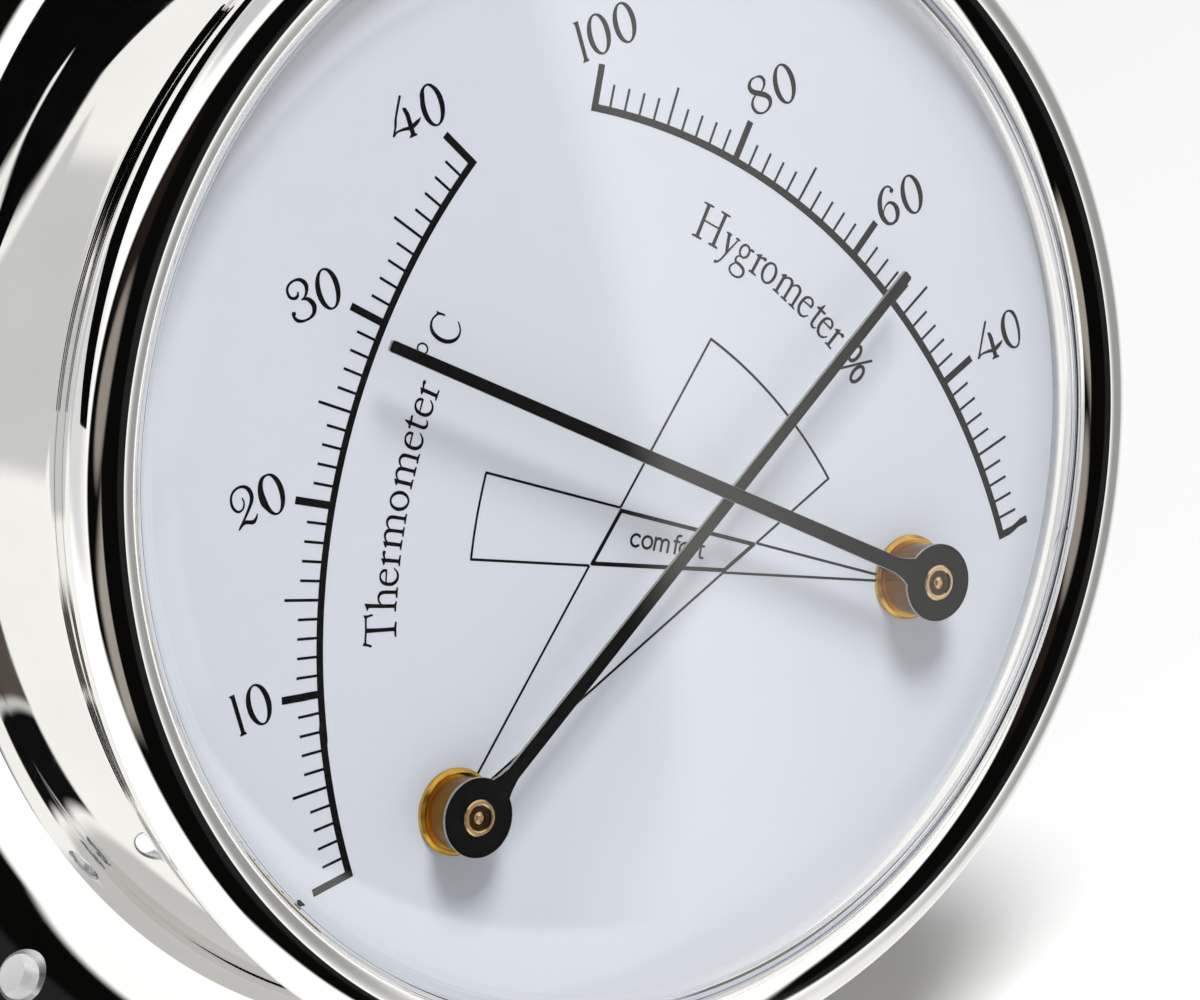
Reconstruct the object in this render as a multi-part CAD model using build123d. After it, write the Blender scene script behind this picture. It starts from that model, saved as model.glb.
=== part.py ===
from build123d import *
import os
from math import sin, cos, sqrt, radians, pi

# Wall-mounting thermo-hygrometer in a turned ship's case.
# Part frame: +Z up, the dial faces -Y, and the origin is the centre of the flange's back face.
# Everything is first drawn in the dial frame: x right, y up, z out of the dial's face towards the
# reader, with z = 0 on the printed face. place() turns that into the part frame.

# ---------------------------------------------------------------- driving dimensions (mm)
BACK = -28.0            # flange's back face, in the dial frame

# case
FLANGE_R = 58.0
FLANGE_T = 2.5
COVE_R = 8.0            # concave sweep from drum to flange
DRUM_R = 44.6
DRUM_BORE_R = 42.0
SEAT_R = 43.1           # counterbore that takes dial, spacer, gasket and crystal
DRUM_FRONT = 2.1
HOLE_CIRCLE_R = 53.0
HOLE_R = 1.7
HOLE_ANGLES = (90.0, 210.0, 330.0)
COVER_RECESS_R = 43.6
LUG_CIRCLE_R = 38.9
LUG_R = 3.3
LUG_ANGLES = (30.0, 150.0, 270.0)
COVER_TAP_R = 1.05

# dial, spacer, gasket, crystal
DIAL_R = 43.0
DIAL_T = 0.6
SPACER_IN_R = 41.6
SPACER_H = 0.9
GASKET_H = 0.4
CRYSTAL_RIM_R = 41.85   # where the crystal's face rises out of its foot
CRYSTAL_T = 1.2
CRYSTAL_FOOT_H = 0.8
CRYSTAL_SHOULDER_R = 12.0
CRYSTAL_RIM_SLOPE = 48.0    # degrees from the dial's plane, at the foot
CRYSTAL_DOME_SLOPE = 5.0    # and where the shoulder meets the shallow dome

# bezel ring
LIP_R = 41.9
BEAD_R = 2.5
BEAD_Z = 1.2
BEAD_CENTRE_R = 44.1
BEZEL_TAIL_Z = -5.35

# the two movements, with pivots low on the dial and close to mirror images
THERMO_X = 21.90
HYGRO_X = -21.56
PIVOT_Y = -19.52
BUSH_FLANGE_R = 3.21
BUSH_FLANGE_H = 0.50
BUSH_CHAMFER = 0.25
BUSH_BARREL_R = 2.72
BUSH_TAIL_R = 2.30
DIAL_HOLE_R = 2.35
BORE_R = 0.80           # running bearing for the arbors
ARBOR_R = 0.75
HYGRO_POINTER_Z = 2.75  # underside of each pointer
THERMO_POINTER_Z = 3.35
POINTER_T = 0.25
POINTER_L = 53.45
POINTER_W0 = 1.20
POINTER_W1 = 0.88
EYE_R = 2.93
COLLET_HEAD_R = 1.34
THERMO_ANGLE = 138.71   # rest angles, counter-clockwise from +x seen from the front
HYGRO_ANGLE = 25.42

BRIDGE_R = 11.0
PILLAR_CIRCLE_R = 9.6
PILLAR_R = 1.3
BRIDGE_REAR_Z = -15.0
BRIDGE_T = 1.2
COIL_W = 4.0
COIL_T = 0.4
COIL_Z0 = -11.5
COIL_PITCH = 1.30
COIL_HALF_TURNS = 9
HUB_R = 1.9
COIL_R0 = HUB_R + 0.05 + COIL_T / 2
COIL_PIN_R = 0.9

COVER_T = 1.5

os.makedirs("parts", exist_ok=True)


def place(shape):
    """Dial frame to part frame."""
    return Pos(0, BACK, 0) * Rot(90, 0, 0) * shape


def cyl(r, z0, z1, x=0.0, y=0.0):
    return Pos(x, y, z0) * Cylinder(r, z1 - z0, align=(Align.CENTER, Align.CENTER, Align.MIN))


def ring(r_out, r_in, z0, z1, x=0.0, y=0.0):
    return cyl(r_out, z0, z1, x, y) - cyl(r_in, z0 - 1, z1 + 1, x, y)


def polar(r, deg, x=0.0, y=0.0):
    return (x + r * cos(radians(deg)), y + r * sin(radians(deg)))


def turned(edges):
    """Solid of revolution about the dial's z axis from edges drawn in (radius, z)."""
    face = make_face(edges)
    return revolve(Plane.XZ * face, axis=Axis.Z, revolution_arc=360)


def chain(*steps):
    """Closed outline in (radius, z): points join with lines; (through, end) pairs are arcs."""
    edges, here, first = [], None, None
    for s in steps:
        if here is None:
            here = first = s
            continue
        if isinstance(s[0], tuple):
            edges.append(ThreePointArc(here, s[0], s[1]))
            here = s[1]
        else:
            edges.append(Line(here, s))
            here = s
    if (abs(here[0] - first[0]) + abs(here[1] - first[1])) > 1e-9:
        edges.append(Line(here, first))
    return edges


def save(shape, node):
    s = place(shape)
    s.label = node
    export_step(s, f"parts/{node}.step")


# ---------------------------------------------------------------- case body
flange_front = BACK + FLANGE_T
cc = (DRUM_R + COVE_R, flange_front + COVE_R)
cove_mid = (cc[0] - COVE_R * cos(radians(45)), cc[1] - COVE_R * sin(radians(45)))
case = turned(
    chain(
        (DRUM_BORE_R, flange_front),
        (COVER_RECESS_R, flange_front),
        (COVER_RECESS_R, BACK),
        (FLANGE_R - 0.4, BACK),
        (FLANGE_R, BACK + 0.4),
        (FLANGE_R, flange_front - 0.7),
        ((FLANGE_R - 0.7 + 0.7 * cos(radians(45)), flange_front - 0.7 + 0.7 * sin(radians(45))), (FLANGE_R - 0.7, flange_front)),
        (cc[0], flange_front),
        (cove_mid, (DRUM_R, cc[1])),
        (DRUM_R, DRUM_FRONT),
        (SEAT_R, DRUM_FRONT),
        (SEAT_R, -DIAL_T),
        (DRUM_BORE_R, -DIAL_T),
    )
)
for a in LUG_ANGLES:
    x, y = polar(LUG_CIRCLE_R, a)
    case = case + (cyl(LUG_R, flange_front, -19.0, x, y) & cyl(DRUM_BORE_R + 0.5, flange_front - 1, -18.0))
for a in LUG_ANGLES:
    x, y = polar(LUG_CIRCLE_R, a)
    case = case - cyl(COVER_TAP_R, flange_front - 1, -20.5, x, y)
for a in HOLE_ANGLES:
    x, y = polar(HOLE_CIRCLE_R, a)
    case = case - cyl(HOLE_R, BACK - 1, flange_front + 4, x, y)
    case = case - Pos(x, y, flange_front - 0.3) * Cone(HOLE_R, HOLE_R + 0.6, 0.6, align=(Align.CENTER, Align.CENTER, Align.MIN))
save(case, "case_body")

# ---------------------------------------------------------------- bezel ring
# Round bead in front, easing through a reverse curve into a thin skirt over the drum.
a_lip = 150.0
k = radians(22.0)
p_lip_top = (BEAD_CENTRE_R + BEAD_R * cos(radians(a_lip)), BEAD_Z + BEAD_R * sin(radians(a_lip)))
p_mid1 = (BEAD_CENTRE_R + BEAD_R * cos(radians(75)), BEAD_Z + BEAD_R * sin(radians(75)))
p_wide = (BEAD_CENTRE_R + BEAD_R, BEAD_Z)
RA = 6.0
p_a = (p_wide[0] - RA * (1 - cos(k)), BEAD_Z - RA * sin(k))
p_am = (p_wide[0] - RA * (1 - cos(k / 2)), BEAD_Z - RA * sin(k / 2))
tail_r = 44.9
run = (p_a[0] - tail_r - RA * (1 - cos(k))) / sin(k)
p_b = (p_a[0] - run * sin(k), p_a[1] - run * cos(k))
p_c = (tail_r, p_b[1] - RA * sin(k))
p_bm = (tail_r + RA * (1 - cos(k / 2)), p_c[1] + RA * sin(k / 2))
bezel = turned(
    chain(
        (LIP_R, DRUM_FRONT),
        (LIP_R, p_lip_top[1]),
        p_lip_top,
        (p_mid1, p_wide),
        (p_am, p_a),
        p_b,
        (p_bm, p_c),
        (DRUM_R + 0.02, p_c[1]),
        (DRUM_R + 0.02, DRUM_FRONT),
    )
)
save(bezel, "bezel_ring")

# ---------------------------------------------------------------- dial stack
dial = cyl(DIAL_R, -DIAL_T, 0)
for x in (THERMO_X, HYGRO_X):
    dial = dial - cyl(DIAL_HOLE_R, -DIAL_T - 1, 1, x, PIVOT_Y)
save(dial, "dial_plate")
save(ring(DIAL_R + 0.05, SPACER_IN_R, 0, SPACER_H), "spacer_ring")
z_g = SPACER_H + GASKET_H
save(ring(DIAL_R, SPACER_IN_R + 0.1, SPACER_H, z_g), "crystal_gasket")

# crystal: foot clamped under the bezel's lip, a wide round shoulder and a shallow dome, one even thickness
sh_c = (
    CRYSTAL_RIM_R - CRYSTAL_SHOULDER_R * sin(radians(CRYSTAL_RIM_SLOPE)),
    z_g + CRYSTAL_FOOT_H - CRYSTAL_SHOULDER_R * cos(radians(CRYSTAL_RIM_SLOPE)),
)


def on_shoulder(rad, slope):
    """Point of the shoulder arc of radius rad where the face leans by slope degrees."""
    return (sh_c[0] + rad * sin(radians(slope)), sh_c[1] + rad * cos(radians(slope)))


so, si = CRYSTAL_SHOULDER_R, CRYSTAL_SHOULDER_R - CRYSTAL_T
sh_o, sh_i = on_shoulder(so, CRYSTAL_DOME_SLOPE), on_shoulder(si, CRYSTAL_DOME_SLOPE)
R_out = sh_o[0] / sin(radians(CRYSTAL_DOME_SLOPE))
R_in = R_out - CRYSTAL_T
dome_c = sh_o[1] - R_out * cos(radians(CRYSTAL_DOME_SLOPE))
foot_r = sh_c[0] + sqrt(si**2 - (z_g - sh_c[1]) ** 2)
mid_slope = (CRYSTAL_RIM_SLOPE + CRYSTAL_DOME_SLOPE) / 2


def dome_pt(rad, r):
    return (r, dome_c + sqrt(rad**2 - r**2))


crystal = turned(
    chain(
        (foot_r, z_g),
        (DIAL_R, z_g),
        (DIAL_R, z_g + CRYSTAL_FOOT_H),
        (CRYSTAL_RIM_R, z_g + CRYSTAL_FOOT_H),
        (on_shoulder(so, mid_slope), sh_o),
        (dome_pt(R_out, sh_o[0] / 2), (0.0, dome_c + R_out)),
        (0.0, dome_c + R_in),
        (dome_pt(R_in, sh_i[0] / 2), sh_i),
        (on_shoulder(si, mid_slope), (foot_r, z_g)),
    )
)
save(crystal, "crystal")

# ---------------------------------------------------------------- back cover
cover = cyl(COVER_RECESS_R - 0.15, flange_front - COVER_T, flange_front)
for a in LUG_ANGLES:
    cover = cover - cyl(1.35, BACK - 1, flange_front + 1, *polar(LUG_CIRCLE_R, a))
for n, r in ((6, 7.0), (12, 14.0)):
    for i in range(n):
        cover = cover - cyl(1.5, BACK - 1, flange_front + 1, *polar(r, 360 / n * i + 15, 0, 8.0))
cover = cover - cyl(1.9, BACK - 1, flange_front + 1, HYGRO_X, PIVOT_Y)
save(cover, "back_cover")
screws = []
for a in LUG_ANGLES:
    x, y = polar(LUG_CIRCLE_R, a)
    zc = flange_front - COVER_T
    s = cyl(2.2, zc - 0.85, zc, x, y) + cyl(0.98, zc, -21.0, x, y)
    s = s - Pos(x, y, zc - 0.85) * Box(3.4, 0.6, 0.7)
    screws.append(s)
save(Compound(children=screws), "back_cover_screws")


# ---------------------------------------------------------------- movements
def hexagon(across_flats, z0, z1, x, y):
    h = extrude(RegularPolygon(across_flats / 2, 6, major_radius=False), z1 - z0)
    return Pos(x, y, z0) * h


def bush(x, top):
    """Flanged brass bush: chamfered flange on the dial, barrel in front, threaded tail behind."""
    b = turned(
        chain(
            (0.0, -4.6),
            (BUSH_TAIL_R, -4.6),
            (BUSH_TAIL_R, 0.0),
            (BUSH_FLANGE_R, 0.0),
            (BUSH_FLANGE_R, BUSH_FLANGE_H - BUSH_CHAMFER),
            (BUSH_FLANGE_R - BUSH_CHAMFER, BUSH_FLANGE_H),
            (BUSH_BARREL_R, BUSH_FLANGE_H),
            (BUSH_BARREL_R, top - 0.15),
            (BUSH_BARREL_R - 0.15, top),
            (0.0, top),
        )
    )
    b = b - cyl(BORE_R, -6, top + 1)
    return Pos(x, PIVOT_Y, 0) * b


def coil(x, start_deg, hand):
    """Flat spiral strip built from half-circle arcs, each tangent to the last."""
    t = COIL_T / 2
    d = COIL_PITCH / 4
    inner, outer = [], []
    r, cx, side = COIL_R0, 0.0, 1
    for i in range(COIL_HALF_TURNS):
        for rr, store in ((r - t, inner), (r + t, outer)):
            p0 = (cx + side * rr, 0.0)
            pm = (cx, side * rr)
            p1 = (cx - side * rr, 0.0)
            store.append((p0, pm, p1))
        cx = cx + side * 2 * d
        r = r + 2 * d
        side = -side
    edges = [ThreePointArc(*q) for q in outer]
    edges += [ThreePointArc(*q) for q in inner]
    edges.append(Line(outer[0][0], inner[0][0]))
    edges.append(Line(outer[-1][2], inner[-1][2]))
    face = make_face(edges)
    body = extrude(face, COIL_W, dir=(0, 0, 1))
    end = ((outer[-1][2][0] + inner[-1][2][0]) / 2, 0.0)
    if hand < 0:
        body = mirror(body, Plane.XZ)
    body = Pos(x, PIVOT_Y, COIL_Z0) * Rot(0, 0, start_deg) * body
    ex, ey = polar(abs(end[0]), start_deg + (180 if end[0] < 0 else 0), x, PIVOT_Y)
    return body, (ex, ey), abs(end[0])


def pointer(x, z, angle):
    """Flat strip with a round eye, slightly tapered, square at the tip."""
    pts = [
        (EYE_R * 0.9, POINTER_W0 / 2),
        (POINTER_L - 0.2, POINTER_W1 / 2),
        (POINTER_L, POINTER_W1 / 2 - 0.12),
        (POINTER_L, -POINTER_W1 / 2 + 0.12),
        (POINTER_L - 0.2, -POINTER_W1 / 2),
        (EYE_R * 0.9, -POINTER_W0 / 2),
    ]
    strip = make_face(Polyline(*pts, close=True))
    # web that fairs the strip into the eye
    web = make_face(
        Polyline((EYE_R * 0.85, 1.15), (EYE_R + 0.35, 0.82), (EYE_R + 1.3, POINTER_W0 / 2 - 0.01), (EYE_R + 1.3, -POINTER_W0 / 2 + 0.01), (EYE_R + 0.35, -0.82), (EYE_R * 0.85, -1.15), close=True)
    )
    p = cyl(EYE_R, 0, POINTER_T) + extrude(strip, POINTER_T) + extrude(web, POINTER_T)
    p = p - cyl(1.0, -1, 1)
    return Pos(x, PIVOT_Y, z) * Rot(0, 0, angle) * p


def collet(x, z):
    """Brass pointer collet: base collar under the eye, riveted cup over it, and a bore for the arbor."""
    zb, zt = z - 0.10, z + POINTER_T
    c = turned(
        chain(
            (0.0, zb),
            (1.9, zb),
            (1.9, z),
            (0.98, z),
            (0.98, zt),
            (COLLET_HEAD_R, zt),
            (COLLET_HEAD_R, zt + 0.10),
            (COLLET_HEAD_R - 0.10, zt + 0.20),
            (COLLET_HEAD_R - 0.30, zt + 0.20),
            (COLLET_HEAD_R - 0.48, zt + 0.08),
            (0.0, zt + 0.08),
        )
    )
    c = c - cyl(0.36, zb - 1, zt + 1)
    return Pos(x, PIVOT_Y, 0) * c


def spindle(x, z, rear):
    """Brass arbor: full diameter through the bush, collar behind it, reduced pin through the collet."""
    top = z + POINTER_T + 0.18
    s = turned(
        chain(
            (0.0, rear),
            (ARBOR_R - 0.15, rear),
            (ARBOR_R, rear + 0.15),
            (ARBOR_R, -5.4),
            (1.25, -5.4),
            (1.25, -4.8),
            (ARBOR_R, -4.8),
            (ARBOR_R, z - 0.10),
            (0.35, z - 0.10),
            (0.35, top - 0.12),
            (0.20, top),
            (0.0, top),
        )
    )
    return Pos(x, PIVOT_Y, 0) * s


def bridge(x, rear_hole_r):
    """Front carrier disc clamped behind the dial and a rear bearing bar (two solids of one stamping set)."""
    front = Pos(x, PIVOT_Y, -1.6) * Cylinder(BRIDGE_R, 1.0, align=(Align.CENTER, Align.CENTER, Align.MIN))
    front = front - cyl(BUSH_TAIL_R + 0.05, -3, 1, x, PIVOT_Y)
    rear = Pos(x, PIVOT_Y, BRIDGE_REAR_Z - BRIDGE_T / 2) * Box(2 * PILLAR_CIRCLE_R, 8.0, BRIDGE_T)
    rear = rear + cyl(5.6, BRIDGE_REAR_Z - BRIDGE_T, BRIDGE_REAR_Z, x, PIVOT_Y)
    for sx in (-1, 1):
        rear = rear + cyl(4.0, BRIDGE_REAR_Z - BRIDGE_T, BRIDGE_REAR_Z, x + sx * PILLAR_CIRCLE_R, PIVOT_Y)
    # keep the outer ears inside the drum
    rear = rear & cyl(DRUM_BORE_R - 0.6, BRIDGE_REAR_Z - BRIDGE_T - 1, BRIDGE_REAR_Z + 1)
    front = front & cyl(DRUM_BORE_R - 0.6, -5, 1)
    rear = rear - cyl(rear_hole_r, BRIDGE_REAR_Z - BRIDGE_T - 1, BRIDGE_REAR_Z + 1, x, PIVOT_Y)
    for sx in (-1, 1):
        rear = rear - cyl(0.75, BRIDGE_REAR_Z - BRIDGE_T - 1, BRIDGE_REAR_Z + 1, x + sx * PILLAR_CIRCLE_R, PIVOT_Y)
    return front, rear


xt, xh = THERMO_X, HYGRO_X
save(bush(xt, THERMO_POINTER_Z - 0.20), "thermometer_bush")
save(bush(xh, HYGRO_POINTER_Z - 0.20), "hygrometer_bush")

washers, nuts = [], []
for x, name in ((xt, "thermometer"), (xh, "hygrometer")):
    washers.append(ring(4.3, BUSH_TAIL_R + 0.05, -2.1, -1.6, x, PIVOT_Y))
    nut = hexagon(7.5, -4.1, -2.1, x, PIVOT_Y) - cyl(BUSH_TAIL_R + 0.02, -6, 0, x, PIVOT_Y)
    save(nut, f"{name}_bush_nut")
save(Compound(children=washers), "bush_washers")

# the hygrometer's rear hole takes the adjuster's boss, the thermometer's takes the arbor itself
ADJ_BOSS_R = 2.9
tf, tr = bridge(xt, BORE_R)
hf, hr = bridge(xh, ADJ_BOSS_R + 0.05)
save(tf, "thermometer_carrier_plate")
save(tr, "thermometer_bridge")
save(hf, "hygrometer_carrier_plate")
save(hr, "hygrometer_bridge")

pillars, bscrews = [], []
for x in (xt, xh):
    for sx in (-1, 1):
        px = x + sx * PILLAR_CIRCLE_R
        p = cyl(PILLAR_R, BRIDGE_REAR_Z, -1.6, px, PIVOT_Y) - cyl(0.6, BRIDGE_REAR_Z - 1, -11.0, px, PIVOT_Y)
        pillars.append(p)
        s = cyl(1.5, BRIDGE_REAR_Z - BRIDGE_T - 0.9, BRIDGE_REAR_Z - BRIDGE_T, px, PIVOT_Y)
        s = s + cyl(0.58, BRIDGE_REAR_Z - BRIDGE_T, -11.5, px, PIVOT_Y)
        s = s - Pos(px, PIVOT_Y, BRIDGE_REAR_Z - BRIDGE_T - 0.9) * Box(3.2, 0.4, 0.7)
        bscrews.append(s)
save(Compound(children=pillars), "bridge_pillars")
save(Compound(children=bscrews), "bridge_screws")

# coils and the collars that take their inner ends
T_START, H_START = 90.0, 90.0
tc, t_end, coil_end_r = coil(xt, T_START, 1)
hc, h_end, _ = coil(xh, H_START, -1)
save(tc, "bimetal_coil")
save(hc, "humidity_coil")
for x, name in ((xt, "thermometer"), (xh, "hygrometer")):
    save(ring(HUB_R, ARBOR_R, COIL_Z0 - 0.6, COIL_Z0 + COIL_W + 0.6, x, PIVOT_Y), f"{name}_coil_hub")

# fixed post for the bimetal's outer end, standing on the carrier plate; the strip sits in its slot
end_deg = 180.0 if (COIL_HALF_TURNS % 2) == 1 else 0.0
px, py = polar(coil_end_r, T_START + end_deg, xt, PIVOT_Y)
post = cyl(COIL_PIN_R, COIL_Z0, -1.6, px, py) - tc
save(post, "thermometer_coil_post")

# adjuster: slotted boss in the bridge, an arm, and a slotted pin that holds the humidity coil's end
hx, hy = polar(coil_end_r, H_START + end_deg, xh, PIVOT_Y)
adj = cyl(ADJ_BOSS_R, -17.7, -14.0, xh, PIVOT_Y) + cyl(4.6, -14.8, -14.0, xh, PIVOT_Y)
arm = Pos((xh + hx) / 2, (PIVOT_Y + hy) / 2, -14.4) * Rot(0, 0, H_START) * Box(coil_end_r, 2.6, 0.8)
adj = adj + arm + cyl(1.3, -14.8, -14.0, hx, hy) + cyl(COIL_PIN_R, -14.0, COIL_Z0 + COIL_W, hx, hy)
adj = adj - hc
adj = adj - cyl(BORE_R, -16.7, -13.0, xh, PIVOT_Y)
adj = adj - Pos(xh, PIVOT_Y, -17.7) * Box(7.0, 0.8, 1.2)
save(adj, "adjuster_lever")
clip = ring(3.9, ADJ_BOSS_R, -16.85, -16.4, xh, PIVOT_Y) - Pos(xh, PIVOT_Y - 3.5, -16.6) * Box(1.6, 3.0, 1.0)
save(clip, "adjuster_clip")

# arbors, pointers, collets
save(spindle(xt, THERMO_POINTER_Z, BRIDGE_REAR_Z - BRIDGE_T - 0.4), "thermometer_spindle")
save(spindle(xh, HYGRO_POINTER_Z, -16.6), "hygrometer_spindle")
save(pointer(xt, THERMO_POINTER_Z, THERMO_ANGLE), "thermometer_pointer")
save(pointer(xh, HYGRO_POINTER_Z, HYGRO_ANGLE), "hygrometer_pointer")
save(collet(xt, THERMO_POINTER_Z), "thermometer_collet")
save(collet(xh, HYGRO_POINTER_Z), "hygrometer_collet")
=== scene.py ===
import math

import bmesh
import bpy
import numpy as np
from mathutils import Matrix, Vector


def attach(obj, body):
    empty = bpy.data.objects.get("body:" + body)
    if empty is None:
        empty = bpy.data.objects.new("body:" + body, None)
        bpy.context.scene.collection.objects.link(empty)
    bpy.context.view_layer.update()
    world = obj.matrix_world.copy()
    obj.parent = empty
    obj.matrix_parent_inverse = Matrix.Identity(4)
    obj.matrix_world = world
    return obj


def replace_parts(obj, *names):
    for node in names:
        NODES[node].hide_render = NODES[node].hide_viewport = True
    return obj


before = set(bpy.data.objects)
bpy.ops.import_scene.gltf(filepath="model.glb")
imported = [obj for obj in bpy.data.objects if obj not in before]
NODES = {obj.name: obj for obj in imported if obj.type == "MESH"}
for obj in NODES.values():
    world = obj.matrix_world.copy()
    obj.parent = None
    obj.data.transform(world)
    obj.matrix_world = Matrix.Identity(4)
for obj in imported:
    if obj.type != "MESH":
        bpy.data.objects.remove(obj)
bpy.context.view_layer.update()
MM = 0.001
BACK = -28.0  # the flange's back face, in the dial frame (x right, y up, z towards the reader, z = 0 on the print)
scene = bpy.context.scene

# ------------------------------------------------------------------ small helpers


def to_part(p):
    """Dial frame in mm to part frame in metres."""
    return Vector((p[0] * MM, (-p[2] + BACK) * MM, p[1] * MM))


def rad(a):
    return math.radians(a)


def pol(r, a, x=0.0, y=0.0):
    return (x + r * math.cos(rad(a)), y + r * math.sin(rad(a)))


def L(a, b):
    return ("L", tuple(a), tuple(b))


def A(c, r, a0, a1):
    """Arc in the (radius, z) plane, angles in degrees."""
    return ("A", tuple(c), r, a0, a1)


def ends(s):
    if s[0] == "L":
        return s[1], s[2]
    _, c, r, a0, a1 = s
    return pol(r, a0, *c), pol(r, a1, *c)


def sample(s, step_deg=3.0, tol=0.0008):
    if s[0] == "L":
        return [s[1], s[2]]
    _, c, r, a0, a1 = s
    step = min(step_deg, math.degrees(2 * math.acos(1 - tol / r)))
    n = max(2, int(math.ceil(abs(a1 - a0) / step)))
    return [pol(r, a0 + (a1 - a0) * i / n, *c) for i in range(n + 1)]


def seg_normal(s, p):
    """Unit normal of a profile segment at p, side not yet chosen."""
    if s[0] == "L":
        d = Vector(s[2]) - Vector(s[1])
        return Vector((d.y, -d.x)).normalized()
    return (Vector(p) - Vector(s[1])).normalized()


def seg_dist(s, p):
    p = Vector(p)
    if s[0] == "L":
        a, b = Vector(s[1]), Vector(s[2])
        d = b - a
        t = max(0.0, min(1.0, (p - a).dot(d) / max(d.length_squared, 1e-12)))
        return (a + d * t - p).length
    _, c, r, a0, a1 = s
    v = p - Vector(c)
    ang = math.degrees(math.atan2(v.y, v.x))
    lo, hi = min(a0, a1), max(a0, a1)
    for k in (-360, 0, 360):
        if lo - 0.5 <= ang + k <= hi + 0.5:
            return abs(v.length - r)
    e0, e1 = ends(s)
    return min((p - Vector(e0)).length, (p - Vector(e1)).length)


def lathe(name, segs, n=384, x=0.0, y=0.0, step=3.0, cuts=(), material=None):
    """Closed solid of revolution about a z axis through (x, y), with exact surface normals.
    segs run round the closed outline in (radius, z). A point on the axis closes to a single vertex."""
    pts = []
    for s in segs:
        for p in sample(s, step):
            if not pts or (abs(pts[-1][0] - p[0]) + abs(pts[-1][1] - p[1])) > 1e-7:
                pts.append(p)
    if (abs(pts[-1][0] - pts[0][0]) + abs(pts[-1][1] - pts[0][1])) < 1e-7:
        pts.pop()
    bm = bmesh.new()
    rings = []
    for r, z in pts:
        if r < 1e-6:
            rings.append([bm.verts.new((x, y, z))])
        else:
            rings.append([bm.verts.new((x + r * math.cos(2 * math.pi * j / n), y + r * math.sin(2 * math.pi * j / n), z)) for j in range(n)])
    m = len(pts)
    for i in range(m):
        a, b = rings[i], rings[(i + 1) % m]
        if len(a) == 1 and len(b) == 1:
            continue
        for j in range(n):
            k = (j + 1) % n
            if len(a) == 1:
                bm.faces.new((a[0], b[j], b[k]))
            elif len(b) == 1:
                bm.faces.new((a[j], b[0], a[k]))
            else:
                bm.faces.new((a[j], b[j], b[k], a[k]))
    bmesh.ops.recalc_face_normals(bm, faces=bm.faces)
    me = bpy.data.meshes.new(name)
    bm.to_mesh(me)
    bm.free()
    ob = bpy.data.objects.new(name, me)
    scene.collection.objects.link(ob)
    if cuts:
        me = boolean(ob, cuts)
    me = ob.data
    exact_normals(me, segs, x, y)
    drop(me, x, y)
    ob.location = to_part((x, y, 0.0))
    if material:
        me.materials.append(material)
    return ob


def boolean(ob, cuts):
    """cuts: list of (object, operation)."""
    for c, op in cuts:
        mod = ob.modifiers.new("cut", "BOOLEAN")
        mod.operation = op
        mod.object = c
        mod.solver = "EXACT"
    dg = bpy.context.evaluated_depsgraph_get()
    dg.update()
    me = bpy.data.meshes.new_from_object(ob.evaluated_get(dg))
    ob.modifiers.clear()
    old = ob.data
    ob.data = me
    bpy.data.meshes.remove(old)
    for c, _ in cuts:
        m = c.data
        bpy.data.objects.remove(c)
        bpy.data.meshes.remove(m)
    return me


DRILLED = []  # axes of drilled holes and bosses, in the dial frame


def exact_normals(me, segs, x, y, limit=18.0):
    """Loop normals from the outline itself, so that mirrors stay true; faces off the outline keep their own."""
    n = len(me.loops)
    co = np.empty(len(me.vertices) * 3)
    me.vertices.foreach_get("co", co)
    co = co.reshape(-1, 3)
    out = np.zeros((n, 3))
    cosl = math.cos(rad(limit))
    line_cache = {}
    for f in me.polygons:
        c, fn = f.center, f.normal
        dx, dy = c.x - x, c.y - y
        r = math.hypot(dx, dy)
        key = (round(r, 3), round(c.z, 3))
        s = line_cache.get(key)
        if s is None:
            s = min(segs, key=lambda q: seg_dist(q, (r, c.z)))
            line_cache[key] = s
        nn = seg_normal(s, (r, c.z))
        rr = max(r, 1e-9)
        n3 = Vector((nn.x * dx / rr, nn.x * dy / rr, nn.y))
        side = n3.dot(fn)
        good = abs(side) > cosl
        sgn = 1.0 if side > 0 else -1.0
        hole = None
        if not good and abs(fn.z) < 0.98:
            hole = next((h for h in DRILLED if math.hypot(c.x - h[0], c.y - h[1]) < 4.0), None)
            if hole:
                h_side = 1.0 if (c.x - hole[0]) * fn.x + (c.y - hole[1]) * fn.y > 0 else -1.0
                flat = math.sqrt(max(0.0, 1.0 - fn.z * fn.z)) * h_side
        for li in f.loop_indices:
            v = co[me.loops[li].vertex_index]
            if not good:
                out[li] = fn
                if hole:
                    hx, hy = v[0] - hole[0], v[1] - hole[1]
                    hr = max(math.hypot(hx, hy), 1e-6)
                    q3 = Vector((flat * hx / hr, flat * hy / hr, fn.z))
                    if q3.dot(fn) > 0.9:
                        out[li] = q3.normalized()
                continue
            vx, vy = v[0] - x, v[1] - y
            vr = math.hypot(vx, vy)
            q = seg_normal(s, (vr, v[2])) * sgn
            if vr < 1e-6:
                out[li] = (0, 0, 1 if fn.z > 0 else -1)
            else:
                out[li] = (q.x * vx / vr, q.x * vy / vr, q.y)
    me["exact"] = 1
    me.shade_smooth()
    # turn with the mesh: dial frame (x, y, z) becomes (x, -z, y)
    t = np.stack([out[:, 0], -out[:, 2], out[:, 1]], axis=1)
    NORMALS[me.name] = t


NORMALS = {}


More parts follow.
